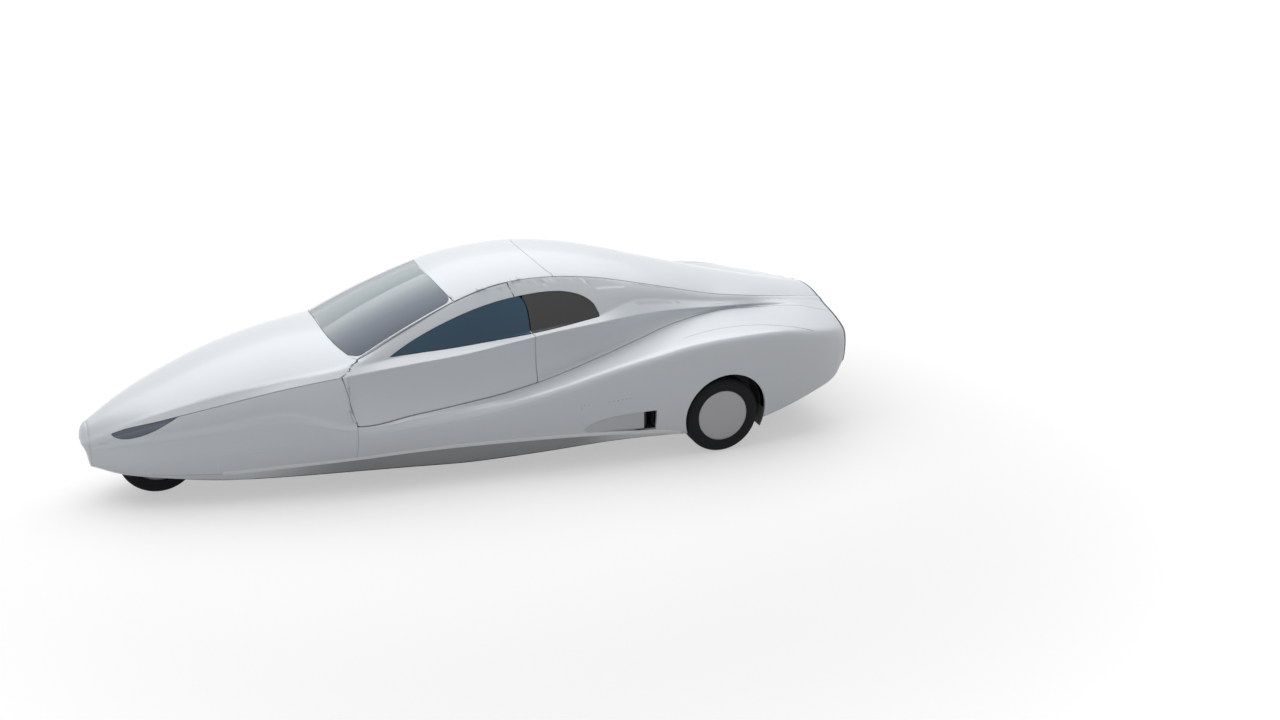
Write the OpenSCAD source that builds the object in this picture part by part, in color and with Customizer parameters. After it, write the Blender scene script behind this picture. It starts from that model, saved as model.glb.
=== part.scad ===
// Two-seat flying car, parked on its three wheels with its wings stowed.
// Millimetres. +X points to the nose, +Y to the car's left, +Z up.
// The origin is on the ground, at mid length on the centre plane.

/* [Body] */
// Length of the body from the nose to the tail
body_length = 5340; // [5000:10:5700]
// Width of the body over the rear fenders
body_width = 1790; // [1700:10:1880]
// Height of the roof above the ground
body_height = 1430; // [1380:5:1500]
// Thickness of the outer body panels
panel_t = 22; // [14:1:30]
// Thickness of the doors
door_t = 34; // [24:1:42]
// Gap round each door
door_gap = 6; // [5.5:0.5:9]
// Gap between fixed body panels
seam_gap = 0.4; // [0.3:0.1:0.8]
// Depth of the long recess in the body side below the belt line
channel_depth = 24; // [10:1:32]

/* [Glass] */
// Thickness of the windscreen and the side glass
glass_t = 6; // [4:0.5:9]
// How far the side glass lies below the outer surface
glass_inset = 4; // [2:0.5:8]

/* [Wheels] */
// Radius of the tyres
tyre_r = 272; // [262:1:280]
// Width of the rear tyres
rear_tyre_w = 165; // [140:1:180]
// Width of the front tyre
front_tyre_w = 125; // [110:1:135]
// Radius of the plain wheel covers
cover_r = 194; // [170:1:205]
// Distance between the front and the rear axle
wheelbase = 3790; // [3740:5:3830]
// Distance from the nose to the front axle
front_overhang = 495; // [480:5:510]
// Distance between the outer faces of the rear wheels
track_outer = 1696; // [1670:2:1710]
// Radius of the axle journals
axle_r = 16; // [12:1:20]
// Radius of the opening round each rear wheel
arch_r = 305; // [296:1:312]
// Backward lean of the steering axis in degrees
rake = 6; // [2:1:8]
// Radial clearance of the running fits
fit = 0.06; // [0.02:0.01:0.1]

/* [Fan] */
// Radius of the fan blades
fan_r = 205; // [180:1:212]
// Clearance between the blade tips and the duct
fan_clear = 6; // [5:0.5:10]
// Wall thickness of the fan duct
duct_t = 6; // [4:0.5:9]
// Length of the fan duct
duct_l = 420; // [300:10:460]
// Number of fan blades
blades = 7; // [5:1:9]
// Number of stator vanes
vanes = 9; // [6:1:11]

/* [Cabin] */
// Width of a seat
seat_w = 440; // [400:5:460]
// Distance from the centre plane to the middle of a seat
seat_y = 270; // [260:1:280]
// Height of the front edge of the seat cushion
seat_z = 370; // [340:5:400]
// Recline of the seat back from upright, in degrees
recline = 24; // [18:1:28]
// Diameter of the steering wheel
wheel_d = 350; // [320:5:370]
// Thickness of the floor
floor_t = 24; // [18:1:30]
// Thickness of the bulkheads
wall_t = 18; // [12:1:24]

/* [Hidden] */

// Cross sections from the nose to the tail. Each row gives the station x and the points of
// the left half: the crown, the hood or roof rail, the waist under the windows, the belt
// edge, the foot of the side channel, the crest of the pod, the sill and the keel.
// Columns: x, crown z, rail y z, waist y z, belt y z, foot y z, crest y z, sill y z, keel y z
sections_drawn = [
    [ 2620,  565, 100,  492, 110,  482, 120, 470, 128, 420, 126, 380, 100, 290,  50, 262],
    [ 2440,  672, 200,  580, 212,  571, 225, 558, 240, 490, 240, 420, 222, 258, 150, 215],
    [ 2200,  782, 303,  680, 322,  665, 345, 632, 352, 540, 350, 450, 320, 238, 255, 190],
    [ 1800,  932, 412,  792, 432,  768, 460, 727, 468, 600, 468, 480, 425, 226, 375, 158],
    [ 1400, 1032, 487,  862, 512,  843, 547, 810, 562, 660, 565, 500, 498, 238, 445, 143],
    [  950, 1082, 548,  937, 585,  912, 625, 873, 650, 517, 665, 470, 567, 250, 507, 133],
    [  550, 1262, 505, 1100, 570,  948, 645, 903, 638, 535, 693, 490, 618, 264, 555, 122],
    [  206, 1385, 462, 1235, 590,  958, 656, 925, 636, 563, 720, 510, 660, 267, 597, 112],
    [ -110, 1428, 425, 1305, 582,  978, 648, 957, 624, 593, 757, 563, 697, 263, 635, 120],
    [ -450, 1428, 408, 1310, 568, 1002, 618, 980, 602, 650, 805, 645, 742, 256, 675, 136],
    [ -800, 1372, 397, 1262, 530, 1022, 583, 990, 566, 730, 845, 735, 785, 240, 712, 155],
    [-1100, 1290, 375, 1183, 448, 1072, 523, 985, 520, 800, 872, 795, 818, 215, 745, 158],
    [-1400, 1195, 352, 1095, 400, 1020, 460, 963, 460, 862, 885, 845, 842, 180, 775, 150],
    [-1740, 1090, 322,  995, 355,  950, 400, 918, 402, 884, 880, 858, 848, 185, 790, 155],
    [-2060,  995, 300,  932, 322,  905, 345, 880, 352, 858, 858, 845, 820, 235, 740, 210],
    [-2400,  906, 238,  864, 285,  853, 335, 844, 382, 837, 780, 770, 765, 330, 672, 310],
    [-2560,  868, 214,  837, 276,  822, 340, 808, 408, 796, 716, 733, 700, 378, 632, 352],
    [-2650,  846, 200,  818, 270,  801, 340, 787, 420, 773, 656, 698, 642, 462, 584, 428]];
cowl_row = 5;
header_row = 7;
bulkhead_row = 10;
last_row = len(sections_drawn) - 1;
// How far the nose cap reaches ahead of the first section
nose_reach = 50;
// Size at which the section table is drawn
drawn_l = 2 * (sections_drawn[0][0] + nose_reach);
drawn_w = 2 * (max([for (r = sections_drawn) r[10]]) + 10);
drawn_h = max([for (r = sections_drawn) r[1]]) + 2;
kx = body_length / drawn_l;
ky = body_width / drawn_w;
kz = body_height / drawn_h;
// Numbers of the lines that run along the body, in the order of the columns
crown = 0;
rail = 1;
waist = 2;
belt = 3;
foot = 4;
crest = 5;
sill = 6;
keel = 7;
middle = 8;
// Outward bulge of the surface between each line and the next
bulges = [0, 12, 0, 6, 8, 16, 4, 6];
// Most that a bulge is, as a share of the distance between its lines
bulge_share = 0.08;
arch_power = 2.2;
mitre_limit = 1.9;

sections = [for (r = sections_drawn)
    [for (k = [0 : len(r) - 1]) r[k] * (k == 0 ? kx : (k == 1 || k % 2 == 1) ? kz : ky)]];

nose_x = sections[0][0];
tail_x = sections[last_row][0];
nose_tip_x = body_length / 2;
tail_tip_x = -body_length / 2;

// Parts into which the panels' rows divide the way from each section to the next
row_cuts = [4, 4, 6, 2, 3, 3, 2, 3, 4, 2, 2, 2, 2, 2, 2, 2, 1];
stations = concat([for (i = [0 : last_row - 1], k = [0 : row_cuts[i] - 1])
    mix(sections[i][0], sections[i + 1][0], k / row_cuts[i])], [tail_x]);
// Least distance of a row from the slanting end of a panel
row_margin = 5;

// Seams that cross the body, as places along it
cowl_sweep = 145 * kx;
cowl_x = sections[cowl_row][0] - 44 * kx;
cowl_crown_x = cowl_x + cowl_sweep;
header_x = sections[header_row][0];
header_crown_x = header_x + 104 * kx;
seam_x = -380 * kx;
seam_sweep = 140 * kx;
step_foot_x = sections[cowl_row][0];
step_top_x = step_foot_x + 78 * kx;
door_rear_foot_x = -330 * kx;
bulkhead_x = sections[bulkhead_row][0];
firewall_back = 11;
firewall_x = cowl_crown_x - firewall_back;

front_axle_x = nose_tip_x - front_overhang;
rear_axle_x = front_axle_x - wheelbase;
wheel_y = track_outer / 2;
arch_x = rear_axle_x - 20;
arch_z = tyre_r + 14;
well_y = wheel_y - rear_tyre_w - 62;
well_t = 4;

steer_max = 25;
front_well_half = front_tyre_w / 2 * cos(steer_max) + tyre_r * sin(steer_max) + 26;
front_well_l = 2 * (tyre_r + 18);

// Nose, lamps and windscreen
nose_mid_z = (sections[0][1] + sections[0][15]) / 2;
lamp_first_row = 3;
lamp_last_row = 10;
lamp_front_x = stations[lamp_first_row];
lamp_rear_x = stations[lamp_last_row];
lamp_width = 0.95;
lamp_end = 0.5;
lamp_gap = 1.6;
lamp_t = 14;
screen_gap = 0.0032;
screen_bow = 16;
screen_side = 0.45;

// Side windows in side view
window_front_x = 690 * kx;
window_rear_x = -815 * kx;
post_top_x = -212 * kx;
post_low_x = -300 * kx;
post_top_z = 1240 * kz;
post_low_z = 985 * kz;
window_post = 34;
window_low_z = 946 * kz;
window_low_rise = 72 * kz;
window_h = 240 * kz;
window_peak = 0.62;
window_in_y = 300;
window_out_y = 800;
glass_fit = 0.7;
// Gap ahead of a door, along the car, because the seam there runs at a slant
door_front_gap = 3.4 * door_gap;

// Hinges of the doors: barrels on an axis just above the roof rail
hinge_front_x = 0;
hinge_rear_x = -250 * kx;
hinge_lift = 9;
knuckle_r = 6;
knuckle_l = 30;
hinge_pin_r = 2.5;
hinge_gap = 0.4;
leaf_w = 30;
leaf_t = 3;

// Intakes ahead of the rear wheels: a long ramp, open over its last part
intake_l = 515;
intake_rear_x = arch_x + arch_r + 215;
intake_front_x = intake_rear_x + intake_l;
intake_z = 290 * kz;
intake_rise = 102 * kz;
intake_drop = 48 * kz;
intake_wall = 4;
intake_open_l = 80;
ramp_front_in = 16;
ramp_rear_in = 40;
ramp_t = 6;
intake_deep = 175;

// Chassis and drive
arm_w = 70;
hub_r = 46;
rim_t = 6;
fork_clear = 10;
leg_t = 18;
spindle_r = 20;
spindle_l = 96;
well_roof_t = 4;
engine_l = 520;
engine_w = 440;
engine_over_shaft = 50;
engine_x = -960 * kx;
fan_x = -2330 * kx;
shaft_r = 14;
fan_hub_r = 46;
// The nozzle lies in the middle of the tail's height
tail_high = sections[last_row][1];
tail_low = sections[last_row][15] - 4;
fan_z = (tail_high + tail_low) / 2;
nozzle_edge = 51;
nozzle_r = (tail_high - tail_low) / 2 - nozzle_edge;
tail_t = 20;

leaf_gap = 0.3;
roof_leaf_gap = 1.3;
frame_t = 26;
frame_w = 40;
// How far the frame's rails and bows lie below the panels
rail_drop = 1.4;
bow_drop = 10;
dash_x = 600 * kx;
// Gap between a piece and the seat that it stands on
seat_gap = 0.3;
dash_l = firewall_x + wall_t - dash_x - seat_gap;
dash_w = 1020 * ky;
dash_z = 850;
wheel_tilt = 66;
seat_x = -330;
jack_r = 32;
jack_h = 18;
jack_socket_r = 8;
jack_socket_l = 12;
jack_places = [[900 * kx, 0], [-1150 * kx, 450 * ky], [-1150 * kx, -450 * ky]];
well_low_z = 210;
well_top_z = 612;
// The roof of the front well slopes down to the nose
well_slope_x = front_axle_x + 110;
well_slope_drop = 64;
head_h = 66;
well_w = 150;
well_cut_z = 200;
arm_l = 380;
lamp_in_y = 330;
lamp_low_z = 640;
tail_lamp_l = 230;
tail_lamp_h = 46;

function mix(a, b, t) = a + (b - a) * t;
function turn90(v) = [-v[1], v[0]];
function unit(v) = v / norm(v);

// Slope of column k of the sections at row i
function slope(i, k) =
    let (a = (k == 1 && i == cowl_row + 1) ? i : max(i - 1, 0),
         b = (k == 1 && i == cowl_row) ? i : min(i + 1, last_row))
    (sections[b][k] - sections[a][k]) / (sections[b][0] - sections[a][0]);
slopes = [for (i = [0 : last_row]) [for (k = [0 : len(sections[0]) - 1]) slope(i, k)]];

// All columns of the sections at station x, on a smooth curve through the rows
function section_at(x) =
    let (i = max(0, min(last_row - 1, len([for (r = sections) if (r[0] >= x) 1]) - 1)),
         a = sections[i],
         b = sections[i + 1],
         l = b[0] - a[0],
         t = (x - a[0]) / l,
         h1 = (1 + 2 * t) * (1 - t) * (1 - t),
         h2 = t * (1 - t) * (1 - t),
         h3 = t * t * (3 - 2 * t),
         h4 = t * t * (t - 1))
    [for (k = [0 : len(a) - 1])
        h1 * a[k] + h2 * l * slopes[i][k] + h3 * b[k] + h4 * l * slopes[i + 1][k]];

// Point of line n in the section row r
function line_point(r, n) = n == crown ? [0, r[1]]
    : n == middle ? [0, r[15] - 4]
    : [r[2 * n], r[2 * n + 1]];

function step_x(s) = mix(step_top_x, step_foot_x, min(max(s - belt, 0), 1));
// The channel runs out into the tail
channel_end_x = -2420 * kx;
channel_fade = 560 * kx;
function channel_at(x) = channel_depth * max(0, min(1, (x - channel_end_x) / channel_fade));
function bulge_at(x, n) = n == belt && x < step_x(belt + 0.5) - 1 ? -channel_at(x) : bulges[n];

// Point [y, z] of the body at station x. The number s runs from 0 at the crown to 8 at the
// middle of the belly, whole at each line; below zero it is the same on the right side.
function at_row(x, r, s) =
    let (n = min(floor(s), middle - 1),
         t = s - n,
         a = line_point(r, n),
         b = line_point(r, n + 1))
    n == crown ? [b[0] * t, a[1] - (a[1] - b[1]) * pow(t, arch_power)]
    : mix(a, b, t) + turn90(unit(b - a)) * min(bulge_at(x, n), bulge_share * norm(b - a)) * 4 * t * (1 - t);

// Point of the body [x, y, z], set in by depth square to the surface of the section at the
// line mitre_s, where two panels that meet share one mitre
function body_point(x, s, depth = 0, mitre_s = undef) =
    let (side = s < 0 ? -1 : 1,
         r = section_at(x),
         p = at_row(x, r, abs(s)),
         q = mitre_s == undef ? abs(s) : abs(mitre_s),
         c = at_row(x, r, q),
         n1 = q < 0.02 ? [0, 1] : turn90(unit(c - at_row(x, r, q - 0.02))),
         n2 = q > middle - 0.02 ? [0, -1] : turn90(unit(at_row(x, r, q + 0.02) - c)),
         m = (n1 + n2) / max(1 + n1 * n2, 0.5),
         out = norm(m) > mitre_limit ? unit(m) * mitre_limit : m,
         w = p - out * depth)
    [x, side * w[0], w[1]];

// Closed plate between two grids of points that have the same rows and columns
module plate(outer, inner) {
    m = len(outer);
    n = len(outer[0]);
    points = concat([for (row = outer) each row], [for (row = inner) each row]);
    under = m * n;
    polyhedron(points, concat(
        [for (i = [0 : m - 2], j = [0 : n - 2]) each [
            [i * n + j, (i + 1) * n + j + 1, i * n + j + 1],
            [i * n + j, (i + 1) * n + j, (i + 1) * n + j + 1]]],
        [for (i = [0 : m - 2], j = [0 : n - 2]) each [
            [under + i * n + j, under + i * n + j + 1, under + (i + 1) * n + j + 1],
            [under + i * n + j, under + (i + 1) * n + j + 1, under + (i + 1) * n + j]]],
        [for (i = [0 : m - 2]) each [
            [i * n, under + (i + 1) * n, (i + 1) * n],
            [i * n, under + i * n, under + (i + 1) * n],
            [(i + 1) * n - 1, (i + 2) * n - 1, under + (i + 2) * n - 1],
            [(i + 1) * n - 1, under + (i + 2) * n - 1, under + (i + 1) * n - 1]]],
        [for (j = [0 : n - 2]) each [
            [j, j + 1, under + j + 1],
            [j, under + j + 1, under + j],
            [(m - 1) * n + j, under + (m - 1) * n + j + 1, (m - 1) * n + j + 1],
            [(m - 1) * n + j, under + (m - 1) * n + j, under + (m - 1) * n + j + 1]]]));
}

// Length of the body surface between line n and the next at station x
function span_at(x, n) =
    let (r = section_at(x))
    norm(line_point(r, n + 1) - line_point(r, n));

// Line number s moved along the section by gap, towards greater numbers
function moved(x, s, gap) = gap == 0 ? s
    : s + gap / span_at(x, max(0, ceil(abs(s) - (s * gap > 0 ? 0.5 : 1))));

// Rows of one column from front_x to rear_x: the given stations between them, with those that a
// slanting end cuts off squeezed in before that end
function column_rows(front_x, rear_x, list) =
    let (good = [for (x = list) if (x < front_x - row_margin && x > rear_x + row_margin) x],
         ahead = len([for (x = list) if (x >= front_x - row_margin) x]),
         behind = len(list) - ahead - len(good),
         first = len(good) > 0 ? good[0] : rear_x,
         last = len(good) > 0 ? good[len(good) - 1] : front_x)
    concat([for (k = [0 : ahead]) mix(front_x, first, k / (ahead + 1))], good,
        [for (k = [1 : behind + 1]) mix(last, rear_x, k / (behind + 1))]);

// Grid of points over the lines in s_list, from station front(s) back to station rear(s), with
// gaps along its first and its last line. Neighbours share their rows. A drop moves the first
// line down by drop(x), and the others in proportion.
function panel_grid(s_list, front, rear, depth, gap_a, gap_b, drop) =
    let (last = len(s_list) - 1,
         from_x = max([for (s = s_list) front(s)]) - row_margin,
         to_x = min([for (s = s_list) rear(s)]) + row_margin,
         list = [for (x = stations) if (x < from_x && x > to_x) x],
         xs = [for (s = s_list) column_rows(front(s), rear(s), list)])
    [for (i = [0 : len(list) + 1]) [for (j = [0 : last])
        let (x = xs[j][i], s = s_list[j] + drop(x) * (1 - j / last))
        body_point(x, moved(x, s, j == 0 ? gap_a : j == last ? -gap_b : 0), depth, s)]];

// Body panel on such a grid
module panel(s_list, front, rear, t = panel_t, set_in = 0, gap_a = seam_gap, gap_b = seam_gap,
        drop = function (x) 0) {
    plate(panel_grid(s_list, front, rear, set_in, gap_a, gap_b, drop),
        panel_grid(s_list, front, rear, set_in + t, gap_a, gap_b, drop));
}

// Values from a to b in n steps, for lists of lines
function steps(a, b, n) = [for (i = [0 : n]) mix(a, b, i / n)];
// The same lines on both sides, from right to left
function both(list) = concat([for (i = [len(list) - 1 : -1 : 1]) -list[i]], list);

// Lines across the belly, from the left keel to the right keel
under = [keel, 7.5, middle, -7.5, -keel];

// Height on the flat facets of the belly, at depth t in from its outer face
function belly_row(x, y, t) =
    let (p = [for (k = [0 : 2]) body_point(x, under[k], t, under[k])],
         k = abs(y) > p[1][1] ? 0 : 1)
    mix(p[k][2], p[k + 1][2], (p[k][1] - abs(y)) / (p[k][1] - p[k + 1][1]));
function belly_z(x, y, t) =
    let (i = len([for (a = stations) if (a >= x) a]) - 1, a = stations[i], b = stations[i + 1])
    mix(belly_row(a, y, t), belly_row(b, y, t), (x - a) / (b - a));
// Heights under a foot of that plan
function belly_heights(x0, x1, y0, y1, t) =
    [for (x = steps(x0, x1, 8), y = steps(y0, y1, 6)) belly_z(x, y, t)];
// Height at which a foot stands on a belly panel of thickness t
function foot_z(x0, x1, y0, y1, t) = max(belly_heights(x0, x1, y0, y1, t)) + seat_gap;

module both_sides() {
    children();
    mirror([0, 1, 0]) children();
}

// Solid through rings of points that have the same count, closed at both ends
module closed_loft(rings) {
    m = len(rings);
    n = len(rings[0]);
    polyhedron([for (r = rings) each r], concat(
        [for (i = [0 : m - 2], j = [0 : n - 1]) each [
            [i * n + j, i * n + (j + 1) % n, (i + 1) * n + (j + 1) % n],
            [i * n + j, (i + 1) * n + (j + 1) % n, (i + 1) * n + j]]],
        [[for (j = [n - 1 : -1 : 0]) j]],
        [[for (j = [0 : n - 1]) (m - 1) * n + j]]));
}

// Lines all round the section, from the crown down the left side and up the right side
around = concat(steps(crown, rail, 4), [waist, belt, foot, crest, 5.5, sill, keel, 7.5]);
around_all = concat(around, [middle], [for (i = [len(around) - 1 : -1 : 1]) -around[i]]);

// Seam lines that cross the body
function cowl_line(s) = abs(s) < rail ? mix(cowl_crown_x, cowl_x, pow(abs(s), 3))
    : mix(cowl_x, step_top_x, (abs(s) - rail) / (belt - rail));
function header_line(s) = mix(header_crown_x, header_x, pow(min(abs(s), 1), 2));
function roof_seam(s) = seam_x - seam_sweep * pow(min(abs(s), 1), 2);
function door_front(s) = s < belt ? cowl_line(s) : step_x(s);
// Middle of the post between the side windows, at height z
function post_x(z) = mix(post_low_x, post_top_x, (z - post_low_z) / (post_top_z - post_low_z));
function door_seam(s) = s < waist ? post_x(body_point(post_low_x, s)[2])
    : mix(post_x(body_point(post_low_x, waist)[2]), door_rear_foot_x, (s - waist) / (foot - waist));

silver = [0.84, 0.85, 0.87];
silver_side = [0.78, 0.79, 0.81];
dark = [0.16, 0.17, 0.18];

// Hood from the nose to the windscreen, with the band between the crease and the belt edge
module hood() {
    color(silver) panel(both(concat(steps(crown, rail, 6), steps(1.25, waist, 3), [2.5, belt])),
        function (s) nose_x, function (s) cowl_line(s) + seam_gap);
}

// Blunt nose that closes the front of the hood and the sides
module nose_cap() {
    rings = [[0, 1], [0.45, 0.9], [0.8, 0.7], [1, 0.4]];
    color(silver) closed_loft([for (g = rings) [for (s = around_all)
        let (p = body_point(nose_x, s))
        [mix(nose_x + seam_gap, nose_tip_x, g[0]), p[1] * g[1], mix(nose_mid_z, p[2], g[1])]]]);
}

// Depth of the headlamp lens below the belt edge at station x, in lines of the section. It is
// worked out at the rows and runs straight between them.
function lamp_curve(x) =
    let (u = (lamp_front_x - x) / (lamp_front_x - lamp_rear_x))
    u <= 0 || u >= 1 ? 0 : lamp_width * sin(180 * pow(u, 0.55));
function lamp_drop(x) =
    let (i = min(len([for (a = stations) if (a >= x) a]) - 1, len(stations) - 2),
         a = stations[i],
         b = stations[i + 1])
    x > stations[0] ? 0 : mix(lamp_curve(a), lamp_curve(b), (x - a) / (b - a));

// Long side panels of the nose, from the belt edge or the lamp down to the sill
module front_sides() {
    color(silver_side) both_sides() panel(steps(belt, sill, 6), function (s) nose_x,
        function (s) step_x(s), drop = function (x) lamp_drop(x));
}

// Crescent lenses of the headlamps, under the belt edge
module headlamps() {
    cols = 3;
    xs = concat([mix(lamp_front_x, stations[lamp_first_row + 1], lamp_end)],
        [for (i = [lamp_first_row + 1 : lamp_last_row - 1]) stations[i]],
        [mix(lamp_rear_x, stations[lamp_last_row - 1], lamp_end)]);
    grid = function (depth) [for (x = xs) [for (j = [0 : cols])
        let (top = moved(x, belt, lamp_gap), low = moved(x, belt + lamp_drop(x), -lamp_gap))
        body_point(x, mix(top, low, j / cols), depth, mix(belt, belt + lamp_drop(x), j / cols))]];
    color([0.30, 0.36, 0.44]) both_sides() plate(grid(1), grid(1 + lamp_t));
}

// Point of the windscreen, from its foot at u = 0 to the header at u = 1
function screen_point(u, s, depth) =
    let (low = body_point(cowl_line(s), s),
         top = body_point(header_line(s), s),
         slope_xz = unit([low[0] - top[0], top[2] - low[2]]),
         out = unit([slope_xz[1], s * screen_side, slope_xz[0]]))
    mix(low, top, u) + out * (screen_bow * 4 * u * (1 - u) - depth);

// Curved windscreen between the foot of the hood and the header of the roof
module windscreen() {
    grid = function (depth) [for (u = steps(screen_gap, 1 - screen_gap, 8))
        [for (s = both(steps(crown, 0.985, 6))) screen_point(u, s, depth)]];
    color([0.36, 0.42, 0.50]) plate(grid(0), grid(glass_t));
}

module roof() {
    color(silver) panel(both(steps(crown, rail, 6)), function (s) header_line(s) - seam_gap,
        function (s) roof_seam(s) + seam_gap / 2);
}

// Long deck from the roof seam back to the tail
module rear_deck() {
    color(silver) panel(both(steps(crown, rail, 6)), function (s) roof_seam(s) - seam_gap / 2,
        function (s) tail_x);
}

// Height of the lower and the upper edge of the side windows at station x
function window_u(x) = max(0, min(1, (window_front_x - x) / (window_front_x - window_rear_x)));
function window_low(x) = window_low_z + window_low_rise * pow(window_u(x), 1.5);
function window_top(x) =
    let (u = window_u(x), a = u / window_peak, b = (u - window_peak) / (1 - window_peak))
    window_low(x) + window_h * (u < window_peak ? sin(90 * pow(a, 0.86)) : sqrt(1 - pow(b, 2.6)));

// Outline with every point moved in by a margin, square to the line through its neighbours
function drawn_in(points, margin) =
    let (n = len(points))
    [for (i = [0 : n - 1])
        points[i] + turn90(unit(points[(i + 1) % n] - points[(i + n - 1) % n])) * margin];

// Outline of the side windows in side view, drawn in by a margin
module window_outline(margin) {
    xs = [for (i = [0 : 24]) mix(window_front_x, window_rear_x, pow(i / 24, 1.4))];
    tops = [for (i = [1 : 23]) [xs[i], window_top(xs[i])]];
    lows = [for (i = concat([for (k = [24 : -2 : 2]) k], [1])) [xs[i], window_low(xs[i])]];
    polygon(drawn_in(concat(tops, lows), margin));
}

// Side of the post between the windows: the door's window is ahead of it, the quarter behind
module post_side(ahead, margin) {
    back = ahead ? 1 : -1;
    x = back * (window_post / 2 + margin);
    polygon([[post_x(0) + x, 0], [post_x(2000) + x, 2000], [back * 2000, 2000], [back * 2000, 0]]);
}

module window_block(margin, ahead) {
    translate([0, window_in_y, 0]) rotate([90, 0, 0]) mirror([0, 0, 1])
        linear_extrude(window_out_y - window_in_y) intersection() {
            window_outline(margin);
            post_side(ahead, margin);
        }
}

module rear_side() {
    difference() {
        panel(concat(steps(rail, waist, 4), [2.5, belt], steps(belt + 0.25, foot, 3)),
            function (s) door_seam(s) - door_gap / 2, function (s) tail_x, gap_b = 3 * seam_gap);
        window_block(0, false);
    }
}

// Body sides behind the doors, with the openings of the rear quarter windows
module rear_sides() {
    color(silver_side) both_sides() rear_side();
}

module quarter_glass() {
    color([0.32, 0.31, 0.30]) both_sides() intersection() {
        panel(steps(1.05, waist + 0.5, 5), function (s) post_top_x, function (s) window_rear_x - 10,
            glass_t, glass_inset);
        window_block(glass_fit, false);
    }
}

// Rod from point a to point b
module rod(a, b, r) {
    along(a, b - a) cylinder(r = r, h = norm(b - a));
}

// Places its children at point a with Z along d
module along(a, d) {
    translate(a) rotate([0, acos(d[2] / norm(d)), atan2(d[1], d[0])]) children();
}

hinge_a = body_point(hinge_front_x, rail, -hinge_lift);
hinge_b = body_point(hinge_rear_x, rail, -hinge_lift);
hinge_dir = unit(hinge_b - hinge_a);

// Knuckle round the axis of the left door's hinges, from l0 to l1 along it past point p.
// Its leaf lies on the surface that runs from the rail towards line s, with the surface
// on the side given by hand.
module knuckle(p, s, hand, l0, l1) {
    x = p[0];
    q = body_point(x, s) - body_point(x, rail);
    difference() {
        along(p + hinge_dir * l0, hinge_dir) union() {
            cylinder(r = knuckle_r, h = l1 - l0);
            rotate([0, 0, atan2(-q[1], -q[2])])
                translate([0, hand > 0 ? hinge_lift - leaf_gap - leaf_t : roof_leaf_gap - hinge_lift, 0])
                cube([leaf_w, leaf_t, l1 - l0]);
        }
        rod(p + hinge_dir * (l0 - 1), p + hinge_dir * (l1 + 1), hinge_pin_r + fit);
    }
}

// Left door, with the window frame, the belt ledge and the wall of the side channel
module door_left() {
    color(silver_side) {
        difference() {
            panel(concat(steps(rail, waist, 4), [2.5, belt], steps(belt + 0.25, foot, 3)),
                function (s) door_front(s) - door_front_gap, function (s) door_seam(s) + door_gap / 2, door_t,
                0, door_gap, door_gap);
            window_block(0, true);
        }
        for (p = [hinge_a, hinge_b]) knuckle(p, rail + 0.05, 1, -knuckle_l / 2, knuckle_l / 2);
    }
}

module door_right() {
    mirror([0, 1, 0]) door_left();
}

module door_glass_left() {
    color([0.20, 0.32, 0.42]) intersection() {
        panel(steps(1.05, waist + 0.5, 6), function (s) window_front_x + 10,
            function (s) post_low_x, glass_t, glass_inset);
        window_block(glass_fit, true);
    }
}

module door_glass_right() {
    mirror([0, 1, 0]) door_glass_left();
}

// Roof halves of the door hinges: two knuckles each with the pin through them
module door_hinges() {
    reach = knuckle_l / 2 + hinge_gap;
    color(silver) both_sides() for (p = [hinge_a, hinge_b]) {
        knuckle(p, rail - 0.1, -1, reach, reach + knuckle_l / 2);
        knuckle(p, rail - 0.1, -1, -reach - knuckle_l / 2, -reach);
        rod(p - hinge_dir * (reach + knuckle_l / 2), p + hinge_dir * (reach + knuckle_l / 2), hinge_pin_r);
    }
}

// Space round the left rear wheel, a short cylinder
module wheel_space(r, from_y) {
    translate([arch_x, from_y, arch_z]) rotate([-90, 0, 0]) cylinder(r = r, h = 400);
}

// Outline of the left intake in side view, drawn in by a margin
module intake_outline(margin) {
    us = [0.03, 0.1, 0.2, 0.33, 0.5, 0.75, 1];
    fat = function (u) pow(1 - pow(1 - u, 3.2), 0.6);
    x = function (u) mix(intake_front_x, intake_rear_x, u);
    polygon(drawn_in(concat([for (u = us) [x(u), intake_z + intake_rise * fat(u)]],
        [for (i = [len(us) - 1 : -1 : 0]) [x(us[i]), intake_z - intake_drop * fat(us[i])]],
        [[intake_front_x, intake_z]]), margin));
}

module intake_block(margin, from_y) {
    translate([0, from_y, 0]) rotate([90, 0, 0]) mirror([0, 0, 1])
        linear_extrude(500) intake_outline(margin);
}

// Side pod with the rear fender, open round the wheel and at the intake
module pod() {
    difference() {
        panel(concat(steps(foot, crest, 5), steps(crest + 0.2, sill, 4)),
            function (s) step_x(s) - seam_gap, function (s) tail_x);
        wheel_space(arch_r, well_y - 60);
        intake_block(0, well_y - 60);
    }
}

module pods() {
    color(silver_side) both_sides() pod();
}

// Plan of the opening round the front wheel, grown by a margin
module front_well_plan(margin) {
    l = front_well_l / 2 + margin;
    w = front_well_half + margin;
    polygon([for (p = [[1, 0.5], [0.76, 1], [-0.76, 1], [-1, 0.5], [-1, -0.5], [-0.76, -1],
        [0.76, -1], [1, -0.5]]) [front_axle_x + l * p[0], w * p[1]]]);
}

// Sills between the body sides and the belly, open at the wheels
module sills() {
    color([0.62, 0.63, 0.65]) both_sides() difference() {
        panel(steps(sill, keel, 2), function (s) nose_x, function (s) tail_x);
        wheel_space(arch_r, well_y);
        linear_extrude(500) front_well_plan(seam_gap);
    }
}

module belly(front, rear, t) {
    panel(under, function (s) front, function (s) rear, t);
}

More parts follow.
